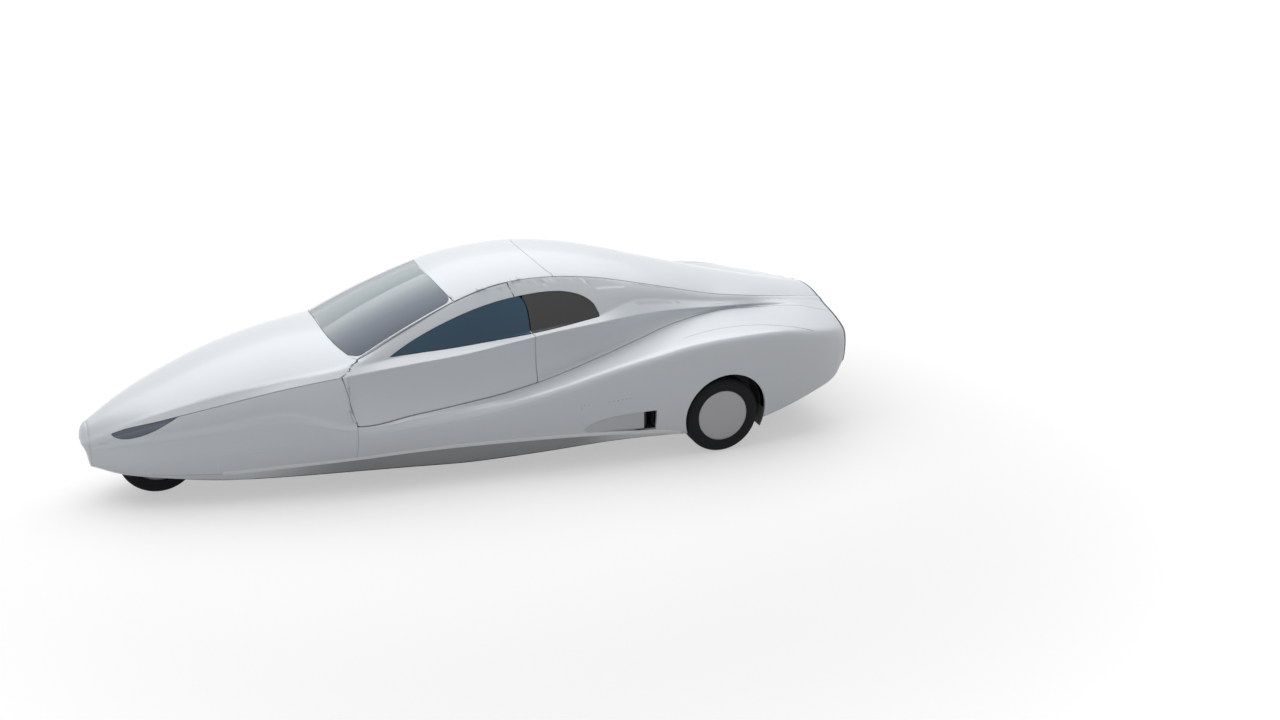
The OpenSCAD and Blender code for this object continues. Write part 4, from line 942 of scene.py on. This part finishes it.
# Grey liner at the rear foot of each wheel arch, and the dark lip under each intake
LINER_ANGLE = (207.0, 181.0)
LINER_Y = (0.700, 0.838)
LINER_IN = (0.0062, 0.0022)
LIP_START, LIP_HIGH = -0.72, 0.009
for side, mir in SIDES:
    a = np.radians(np.linspace(*LINER_ANGLE, 14))[:, None]
    y = np.linspace(*LINER_Y, 5)[None, :]
    grids = []
    for r in (ARCH[2] - d for d in LINER_IN):
        x, z = ARCH[0] + r * np.cos(a), ARCH[1] + r * np.sin(a)
        grids.append(np.stack([x + 0 * y, y + 0 * x, z + 0 * y], -1))
    ob = solid_grid("arch_liner_" + side, mirrored(grids[0], mir), mirrored(grids[1], mir), [vane_mat])
    fit_piece(ob, "body", "dark_trim")
    x = np.linspace(LIP_START, INTAKE_OPEN - 0.002, 30)[:, None]
    low = intake_edges(x)[0] + 0.0008
    z = low + LIP_HIGH * np.clip((LIP_START - x) / 0.3, 0.05, 1) * np.linspace(0, 1, 3)[None, :]
    outer = np.stack([x + 0 * z, ramp_y(x) + 0.0062 + 0 * z, z], -1)
    inner = outer - np.array([0, 0.006, 0])
    ob = solid_grid("intake_lip_" + side, mirrored(outer, mir), mirrored(inner, mir), [trim])
    fit_piece(ob, "body", "dark_trim")


# Thin trim that lies on the body: seals in the door gaps, seams and the lip over the sill
def line_at(x, z, lo, hi):
    """Line number between lo and hi at which the body is at height z."""
    x = np.asarray(x, float)
    a, b = np.full(x.shape, float(lo)), np.full(x.shape, float(hi))
    for _ in range(30):
        m = (a + b) / 2
        high = body(x, m)[..., 2] > z
        a, b = np.where(high, m, a), np.where(high, b, m)
    return (a + b) / 2


def ribbon(name, x, s, width, lift, t, mat, mir):
    """Strip of a width along points (x, s) of the body, raised by lift, t thick."""
    top, low = body(x, s, -lift), body(x, s, t - lift)
    along = np.gradient(top, axis=0)
    out = body(x, s, -0.01) - body(x, s, 0.0)
    across = np.cross(along, out)
    across = across / np.maximum(np.linalg.norm(across, axis=-1, keepdims=True), 1e-9)
    half = across * width / 2
    rings = mirrored(np.stack([top + half, top - half, low - half, low + half], 1), mir)
    n = len(rings)
    faces = bands(n, 4) + [(0, 1, 2, 3), (4 * n - 1, 4 * n - 2, 4 * n - 3, 4 * n - 4)]
    ob = make_object(name, rings.reshape(-1, 3), faces, [mat])
    fix_normals(ob)
    return fit_piece(ob, "body", "dark_trim")


def seam(name, x, s, mat, mir):
    """Hairline that lies on the body."""
    return ribbon(name, x, s, 0.0022, 0.0003, 0.002, mat, mir)


def seal(name, x, s, mat, mir):
    """Seal that fills a door's gap, below the skin and clear of the door."""
    return ribbon(name, x, s, DOOR_GAP - 0.0016, -0.0028, 0.004, mat, mir)


RIVET_R, RIVET_SIDES = 0.0028, 10
# Rings of a rivet's head: share of the radius, depth
RIVET_RINGS = ((1, 0.001), (1, -0.0001), (0.7, -0.0006), (0.1, -0.0008))


def rivet(name, x, z, mir):
    s = float(line_at(np.array([x]), z, 5, 6)[0])
    ds = RIVET_R / np.linalg.norm(body(x, s + 0.01) - body(x, s)) * 0.01
    a = np.linspace(0, 2 * np.pi, RIVET_SIDES, endpoint=False)
    rings = [body(x + q * RIVET_R * np.cos(a), s + q * ds * np.sin(a), d) for q, d in RIVET_RINGS]
    n = RIVET_SIDES
    faces = bands(len(rings), n) + [tuple(range(n)), tuple(range(4 * n - 1, 3 * n - 1, -1))]
    ob = make_object(name, mirrored(np.concatenate(rings), mir), faces, [seam_mat])
    fix_normals(ob)
    fit_piece(ob, "body", "dark_trim")


# Arc over the rear fender: station x, line number
ARC = ((-1.359, 4.65), (-1.484, 4.63), (-1.639, 4.62), (-1.795, 4.65), (-1.94, 4.71), (-2.085, 4.79),
       (-2.23, 4.88), (-2.344, 4.96))
# Rivets above the intake: station x, height z
RIVETS = ((-0.575, 0.489), (-0.597, 0.492), (-0.625, 0.493), (-0.575, 0.471), (-0.587, 0.349),
          (-0.770, 0.501), (-0.800, 0.503), (-0.830, 0.505), (-0.862, 0.507), (-0.890, 0.509),
          (-0.917, 0.511))


def beside(x, line, way):
    """Line numbers at a way from one of the body's lines."""
    return slide(line_points(rows_at(x)), np.full(x.shape, float(line)), np.full(x.shape, way))


def lip_strip(name, front, rear, mir):
    """Rounded lip along the lower edge of the pods, in lighter paint as a painted highlight."""
    x = np.linspace(front, rear, 150)
    u = np.linspace(0, 1, 9)
    fade = np.clip(np.minimum(front - x, x - rear) / 0.25, 0.02, 1)
    X = np.repeat(x[:, None], 9, 1)
    lines = line_points(rows_at(X))
    way = (u[None, :] - 0.62) * 0.034
    S = slide(lines, np.full(X.shape, float(SILL)), np.broadcast_to(way, X.shape))
    rise = 0.0085 * np.sin(np.pi * u[None, :]) ** 0.8 * fade[:, None]
    outer = body(X, S, -rise - 0.0002)
    inner = body(X, S, np.full(X.shape, 0.002))
    ob = solid_grid(name, mirrored(outer, mir), mirrored(inner, mir), [lip_highlight_paint])
    return fit_piece(ob, "body", "body_paint")


for side, mir in SIDES:
    arc = np.array(ARC)
    u = np.linspace(0, len(arc) - 1, 60)
    ax, as_ = np.interp(u, range(len(arc)), arc[:, 0]), np.interp(u, range(len(arc)), arc[:, 1])
    for _ in range(3):
        as_[1:-1] = (as_[:-2] + 2 * as_[1:-1] + as_[2:]) / 4
    seam("fender_seam_" + side, ax, as_, seam_mat, mir)
    z = np.linspace(0.388, 0.246, 16)
    x = np.full(z.shape, 1.85)
    seam("hatch_edge_" + side, x, line_at(x, z, 4.5, 7), hatch_mat, mir)
    x = np.linspace(1.849, 1.43, 40)
    seam("hatch_top_" + side, x, line_at(x, 0.389, 4.5, 7), hatch_mat, mir)
    for k, (x, z) in enumerate(RIVETS):
        rivet("rivet_%s_%d" % (side, k), x, z, mir)
    lip_strip("sill_lip_" + side, 1.82, -1.30, mir)
    s_ = np.linspace(BELT + 0.06, FOOT - 0.02, 24)
    seal("door_seal_front_" + side, step_x(s_) - DOOR_GAP / 2 - 0.0004, s_, seal_mat, mir)
    x = np.linspace(STEP_FOOT - 0.012, DOOR_FOOT_X + 0.006, 120)
    seal("door_seal_foot_" + side, x, beside(x, FOOT, -DOOR_GAP / 2), seal_mat, mir)
    x = np.linspace(COWL[0] - 0.004, HEADER[0] - 0.004, 60)
    seal("door_seal_top_" + side, x, beside(x, RAIL, DOOR_GAP / 2), seal_pale, mir)
    s_ = np.linspace(WAIST - 0.02, FOOT - 0.06, 40)
    seal("door_seal_rear_" + side, door_seam(s_), s_, seal_pale, mir)


# Painted frame of the windscreen with rounded inner corners, just proud of the glass
FRAME_SIDE, FRAME_END, FRAME_ROUND = 0.004, 0.007, 0.046
SCREEN_EDGE = 0.9975
edge_u = np.linspace(0, 1, 60)
edge_p = screen(edge_u, np.full(60, SCREEN_EDGE))


def frame_keep(p):
    """Above zero outside the rounded window that the frame leaves free."""
    half = np.interp(p[..., 2], edge_p[:, 2], edge_p[:, 1])
    side = half - np.abs(p[..., 1])
    across = np.clip(np.abs(p[..., 1]) / np.maximum(half, 0.01), 0, SCREEN_EDGE)
    foot = screen(np.zeros(across.shape), across)
    head = screen(np.ones(across.shape), across)
    ends = np.minimum(np.linalg.norm(p - foot, axis=-1), np.linalg.norm(p - head, axis=-1))
    ia, ib = side - FRAME_SIDE, ends - FRAME_END
    corner = (ia < FRAME_ROUND) & (ib < FRAME_ROUND)
    rounded = FRAME_ROUND - np.hypot(FRAME_ROUND - ia, FRAME_ROUND - ib)
    return -np.where(corner, rounded, np.minimum(ia, ib))


def raised_screen(x, s, depth=0.0):
    return screen(x, s, np.asarray(depth) - 0.0022)


U, T = np.meshgrid(np.linspace(0.0015, 0.9985, 100), np.linspace(-SCREEN_EDGE, SCREEN_EDGE, 150),
                   indexing="ij")
ob = plate("windscreen_frame", U, T, 0.0018, [silver], keep=frame_keep, surface=raised_screen,
           chamfer=0.0006)
fit_piece(ob, "body", "body_paint")

# Side walls of the windscreen, from its edge down to the body's rail line
for side, mir in SIDES:
    u = np.linspace(0.004, 0.996, 60)
    top = screen(u, np.full(60, SCREEN_EDGE), 0.0008)
    low = body(COWL[0] + (HEADER[0] - COWL[0]) * u, np.full(60, SCREEN_EDGE), 0.003)
    v = np.linspace(0, 1, 4)[None, :, None]
    outer = top[:, None, :] * (1 - v) + low[:, None, :] * v
    inner = outer - np.array([0, 0.004, 0])
    ob = solid_grid("windscreen_wall_" + side, mirrored(outer, mir), mirrored(inner, mir), [silver])
    fit_piece(ob, "body", "body_paint")


# Seats: a moulded shell on a plinth, and cushions filled by a cloth simulation
SEAT_X, SEAT_Y, SEAT_HALF = -0.330, 0.270, 0.220
LEAN = math.radians(24)
PAD_VOXEL = 0.008
PAD_FRAMES = 20
PAD_PRESSURE = 4
# Width at either side that the bolsters take from the pads between them
BOLSTER = 0.084
CHANNEL_STEP = 0.075


def seat_point(x, z, up=0.0, back=0.0):
    """Point of the seat's side view: x from its rear edge, z from the ground, up along the back."""
    return (SEAT_X + x - up * math.sin(LEAN) - back * math.cos(LEAN),
            z + up * math.cos(LEAN) - back * math.sin(LEAN))


def prism(name, outline, y0, y1, mats):
    n = len(outline)
    verts = [(x, y0, z) for x, z in outline] + [(x, y1, z) for x, z in outline]
    faces = [tuple(range(n)), tuple(range(2 * n - 1, n - 1, -1))]
    faces += [(k, n + k, n + (k + 1) % n, (k + 1) % n) for k in range(n)]
    ob = make_object(name, verts, faces, mats, smooth=False)
    fix_normals(ob)
    return ob


def take_shape(ob):
    """Mesh of an object with its modifiers worked out."""
    graph = bpy.context.evaluated_depsgraph_get()
    me = bpy.data.meshes.new_from_object(ob.evaluated_get(graph))
    ob.modifiers.clear()
    ob.data = me


def coords(me):
    co = np.zeros(len(me.vertices) * 3)
    me.vertices.foreach_get("co", co)
    return co.reshape(-1, 3)


def pad(name, outline, y0, y1, cap, floor_z=None, fine=True):
    """Cushion that starts as a prism and is blown up by cloth pressure, at most by cap."""
    ob = prism(name, outline, y0, y1, [leather])
    soften(ob, 0.016, 3)
    mod = ob.modifiers.new("remesh", "REMESH")
    mod.mode = "VOXEL"
    mod.voxel_size = PAD_VOXEL
    take_shape(ob)
    start = coords(ob.data)
    scene = bpy.context.scene
    cloth = ob.modifiers.new("cloth", "CLOTH")
    cloth.settings.use_pressure = True
    cloth.settings.uniform_pressure_force = PAD_PRESSURE
    cloth.settings.effector_weights.gravity = 0
    cloth.point_cache.frame_start = 1
    cloth.point_cache.frame_end = PAD_FRAMES
    for k in range(1, PAD_FRAMES + 1):
        scene.frame_set(k)
    take_shape(ob)
    scene.frame_set(1)
    end = coords(ob.data)
    move = end - start
    size = np.linalg.norm(move, axis=1, keepdims=True)
    end = start + move * np.minimum(1, cap / np.maximum(size, 1e-9))
    if floor_z is not None:
        end[:, 2] = np.maximum(end[:, 2], floor_z)
    ob.data.vertices.foreach_set("co", end.ravel())
    if fine:
        sub = ob.modifiers.new("sub", "SUBSURF")
        sub.levels = sub.render_levels = 1
        take_shape(ob)
    ob.data.polygons.foreach_set("use_smooth", [True] * len(ob.data.polygons))
    ob.data.materials.clear()
    ob.data.materials.append(leather)
    return ob


def channels(ob, places, axis, facing, width=0.006, depth=0.005):
    """Sews channels across a pad: points near each place along the axis sink in, on the face it turns up."""
    co = coords(ob.data)
    no = np.zeros(len(ob.data.vertices) * 3)
    ob.data.vertices.foreach_get("normal", no)
    no = no.reshape(-1, 3)
    t = co @ np.array(axis)
    sink = np.zeros(len(co))
    for q in places:
        sink = np.maximum(sink, np.exp(-((t - q) / width) ** 2))
    sink = sink * np.clip(no @ np.array(facing), 0, 1)
    co = co - no * (sink * depth)[:, None]
    ob.data.vertices.foreach_set("co", co.ravel())
    ob.data.update()


# Side views of the seat's pieces, as arguments of seat_point
CUSHION = ((0.095, 0.272), (0.095, 0.312), (0.420, 0.350), (0.480, 0.346), (0.497, 0.330), (0.484, 0.284),
           (0.415, 0.264))
BACK = ((0.050, 0.345, 0.02, 0.012), (0.052, 0.340, 0.46, 0.010), (0.050, 0.340, 0.535, 0.030),
        (0.050, 0.340, 0.540, 0.060), (0.050, 0.335, 0.500, 0.088), (0.050, 0.335, 0.02, 0.075))
WING = ((0.475, 0.338), (0.437, 0.384), (0.125, 0.364), (0.116, 0.386, 0.335), (0.050, 0.382, 0.375),
        (0.0, 0.330), (0.10, 0.322))
SHELL = ((0.502, 0.266), (0.506, 0.300), (0.498, 0.300), (0.488, 0.272), (0.416, 0.254), (0.060, 0.262),
         (-0.028, 0.312), (-0.030, 0.320, 0.520), (-0.052, 0.314, 0.520), (-0.056, 0.288), (0.002, 0.224),
         (0.420, 0.236))


def seat_pieces():
    y0, y1 = SEAT_Y - SEAT_HALF, SEAT_Y + SEAT_HALF
    sides = {key: [seat_point(*q) for q in outline] for key, outline in
             (("seat", CUSHION), ("back", BACK), ("wing", WING), ("shell", SHELL))}
    cushion = pad("seat_cushion", sides["seat"], y0 + BOLSTER, y1 - BOLSTER, 0.013, floor_z=0.262)
    channels(cushion, [SEAT_X + 0.17 + CHANNEL_STEP * k for k in range(4)], (1, 0, 0), (0, 0, 1))
    rest = pad("seat_back", sides["back"], y0 + BOLSTER, y1 - BOLSTER, 0.012)
    up = (-math.sin(LEAN), 0, math.cos(LEAN))
    foot = np.array([SEAT_X + 0.050, 0, 0.340]) @ np.array(up)
    channels(rest, [foot + 0.08 + CHANNEL_STEP * k for k in range(4)] + [foot + 0.385], up,
             (math.cos(LEAN), 0, math.sin(LEAN)))
    made = [(cushion, 0.7, "seat_leather"), (rest, 0.7, "seat_leather")]
    for k, (a, b) in enumerate(((y0 + 0.010, y0 + 0.062), (y1 - 0.062, y1 - 0.010))):
        ob = pad("seat_wing_%d" % k, sides["wing"], a, b, 0.008, fine=False)
        made.append((ob, 0.8, "seat_leather"))
    ob = prism("seat_shell", sides["shell"], y0 + 0.004, y1 - 0.004, [cabin_black])
    soften(ob, 0.005, 2)
    made.append((ob, None, "cabin_trim"))
    low_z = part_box("seats")[0][2] + 0.0005
    base = [(SEAT_X + x, z) for x, z in ((0.022, low_z), (0.398, low_z), (0.380, 0.232), (0.040, 0.222))]
    ob = prism("seat_base", base, y0 + 0.062, y1 - 0.062, [cabin_black])
    soften(ob, 0.008, 3)
    made.append((ob, None, "cabin_trim"))
    for ob, fill, slot in made:
        for piece in (ob, mirror_copy(ob)):
            fit_piece(piece, "body", slot, "seats")


def mirror_copy(ob):
    """The same piece for the right seat."""
    other = bpy.data.objects.new(ob.name + "_right", ob.data.copy())
    bpy.context.scene.collection.objects.link(other)
    other.data.vertices.foreach_set("co", mirrored(coords(other.data), True).ravel())
    other.data.flip_normals()
    other.data.update()
    return other


seat_pieces()


# Wheels and tyres, turned round the axle
WHEEL_STEPS = 128
REAR_Y = 0.7655


def turned(name, profile, centre, mat, side):
    """Solid of a closed profile of (radius, y) round the Y axis at centre."""
    n = len(profile)
    cx, cy, cz = centre
    turns = [2 * math.pi * k / WHEEL_STEPS for k in range(WHEEL_STEPS)]
    verts = [(cx + r * math.cos(a), cy + side * y, cz + r * math.sin(a)) for a in turns for r, y in profile]
    faces = []
    for k in range(WHEEL_STEPS):
        h = (k + 1) % WHEEL_STEPS
        for j in range(n):
            i = (j + 1) % n
            q = (k * n + j, k * n + i, h * n + i, h * n + j)
            faces.append(q if side > 0 else q[::-1])
    return make_object(name, verts, faces, [mat])


def round_profile(points, r, steps):
    """Profile with its corners rounded."""
    out = []
    n = len(points)
    for i in range(n):
        a, b, c = (np.array(points[(i + k) % n], float) for k in (-1, 0, 1))
        u, v = a - b, c - b
        lu, lv = np.linalg.norm(u), np.linalg.norm(v)
        d = min(r, lu * 0.45, lv * 0.45)
        p, q = b + u / lu * d, b + v / lv * d
        for k in range(steps + 1):
            t = k / steps
            w = (1 - t) ** 2 * p + 2 * t * (1 - t) * b + t * t * q
            out.append((float(w[0]), float(w[1])))
    return out


def tyre(name, centre, w, side, body_name, node, both_faces):
    b, seat_r = w / 2, 0.200
    h = TYRE_R - seat_r

    def wall(bead):
        return [(seat_r + 0.0006, -b * 0.80), (seat_r + 0.0006, -b * 0.90), (bead, -b * 0.925),
                (bead, -b * 0.965), (bead + 0.006, -b * 0.995), (seat_r + h * 0.3, -b),
                (seat_r + h * 0.55, -b * 0.99), (seat_r + h * 0.58, -b * 0.97), (seat_r + h * 0.78, -b * 0.93),
                (TYRE_R - 0.006, -b * 0.82), (TYRE_R - 0.0012, -b * 0.68)]
    tread = []
    for g in (-0.42, -0.14, 0.14, 0.42):
        tread += [(TYRE_R, b * (g - 0.045)), (TYRE_R - 0.006, b * (g - 0.035)),
                  (TYRE_R - 0.006, b * (g + 0.035)), (TYRE_R, b * (g + 0.045))]
    inner = wall(COVER_R + 0.0008 if both_faces else seat_r + 0.0007)
    outer = [(r, -y) for r, y in reversed(wall(COVER_R + 0.0008))]
    prof = round_profile(inner + [(TYRE_R, -b * 0.60)] + tread + [(TYRE_R, b * 0.60)] + outer, 0.0022, 2)
    ob = turned(name, prof, centre, tyre_mat, side)
    fit_piece(ob, body_name, "tyre_rubber", node)


def rim(name, centre, w, side, body_name, node, both_faces):
    """Wheel with a plain domed cover; the front one has a cover on both faces."""
    y = w / 2
    axle_r, c, r = 0.0163, COVER_R, 0.1999
    centre_r = axle_r if both_faces else 0.0003
    face = [(centre_r, y - 0.0015), (0.060, y - 0.0018), (0.120, y - 0.0030), (c - 0.012, y - 0.0050),
            (c - 0.003, y - 0.0070), (c, y - 0.0100), (c + 0.001, y - 0.014), (r, y - 0.016)]
    inner_back = [(r, -y + 0.001), (r - 0.001, -y), (0.187, -y), (0.186, -y + 0.001)]
    if both_faces:
        prof = face + [(q, -v) for q, v in reversed(face)]
    else:
        prof = face + inner_back + [(0.186, y - 0.018), (0.046, y - 0.020), (0.045, -y * 0.7),
                                    (axle_r, -y * 0.7), (axle_r, y - 0.0155), (centre_r, y - 0.0155)]
    ob = turned(name, prof[::-1], centre, cover_mat, side)
    fit_piece(ob, body_name, "wheel_cover", node)


tyre("tyre_front", (FRONT_AXLE, 0, TYRE_R), 0.125, 1, "front_wheel_body", "front_tyre", True)
rim("rim_front", (FRONT_AXLE, 0, TYRE_R), 0.119, 1, "front_wheel_body", "front_wheel", True)
for side, k in (("left", 1), ("right", -1)):
    where = (REAR_AXLE, k * REAR_Y, TYRE_R)
    tyre("tyre_rear_" + side, where, 0.157, k, "wheel_" + side + "_body", "rear_tyre_" + side, False)
    rim("rim_rear_" + side, where, 0.165, k, "wheel_" + side + "_body", "rear_wheel_" + side, False)


# Floor, world, lights and camera
# The floor glows for the camera, faintly near the car and fully beyond it
FLOOR_GLOW = 0.46
GLOW_REACH = (3.0, 9.0)
FLOOR_HALF = 60
WORLD_FILL = 0.28
me = bpy.data.meshes.new("floor")
corners = [(a * FLOOR_HALF, b * FLOOR_HALF, 0) for a, b in ((-1, -1), (1, -1), (1, 1), (-1, 1))]
me.from_pydata(corners, [], [(0, 1, 2, 3)])
floor = bpy.data.objects.new("floor", me)
bpy.context.scene.collection.objects.link(floor)
m, nt, b = new_mat("floor_white")
set_inputs(b, {"Base Color": (0.56, 0.56, 0.565, 1), "Roughness": 0.55, "Specular IOR Level": 0.2})
em = nt.nodes.new("ShaderNodeEmission")
em.inputs["Color"].default_value = (1, 1, 1, 1)
geo = nt.nodes.new("ShaderNodeNewGeometry")
far = nt.nodes.new("ShaderNodeVectorMath")
far.operation = "LENGTH"
nt.links.new(geo.outputs["Position"], far.inputs[0])
glow = map_range(nt, far.outputs["Value"], *GLOW_REACH, FLOOR_GLOW, 1.0, smooth=True)
seen = ray_sum(nt, "Is Camera Ray", "Is Glossy Ray", "Is Transmission Ray")
nt.links.new(math_node(nt, "MULTIPLY", seen, glow), em.inputs["Strength"])
add = nt.nodes.new("ShaderNodeAddShader")
nt.links.new(b.outputs[0], add.inputs[0])
nt.links.new(em.outputs[0], add.inputs[1])
nt.links.new(add.outputs[0], nt.nodes["Material Output"].inputs["Surface"])
me.materials.append(m)

world = bpy.data.worlds.new("studio")
bpy.context.scene.world = world
world.use_nodes = True
wn = world.node_tree
bg = wn.nodes["Background"]
bg.inputs["Color"].default_value = (1, 1, 1, 1)
shown = ray_sum(wn, "Is Camera Ray", "Is Transmission Ray", "Is Glossy Ray")
wn.links.new(map_range(wn, shown, 0, 1, WORLD_FILL, 1.0), bg.inputs["Strength"])


def area(name, at, aim, size, size_y, power):
    li = bpy.data.lights.new(name, "AREA")
    li.shape = "RECTANGLE"
    li.size, li.size_y, li.energy = size, size_y, power
    ob = bpy.data.objects.new(name, li)
    ob.location = at
    ob.rotation_euler = (Vector(aim) - Vector(at)).to_track_quat("-Z", "Y").to_euler()
    bpy.context.scene.collection.objects.link(ob)


area("key_top", (0.3, -1.8, 7.0), (0.1, -0.4, 0.6), 16.0, 8.0, 670)
area("fill_side", (2.5, 9.0, 4.2), (0, 0.5, 0.6), 6.0, 3.0, 12)

CAM = Vector((3.805, 12.808, 5.81))
AZ, EL = math.radians(21.83), math.radians(21.31)
look = Vector((-math.sin(AZ) * math.cos(EL), -math.cos(AZ) * math.cos(EL), -math.sin(EL)))
cam = bpy.data.cameras.new("camera")
cam.lens = 57.04
cam.sensor_width = 36
cam.clip_end = 300
cam_ob = bpy.data.objects.new("camera", cam)
cam_ob.location = CAM
cam_ob.rotation_euler = look.to_track_quat("-Z", "Y").to_euler()
bpy.context.scene.collection.objects.link(cam_ob)
bpy.context.scene.camera = cam_ob
bpy.context.scene.view_settings.view_transform = "Standard"
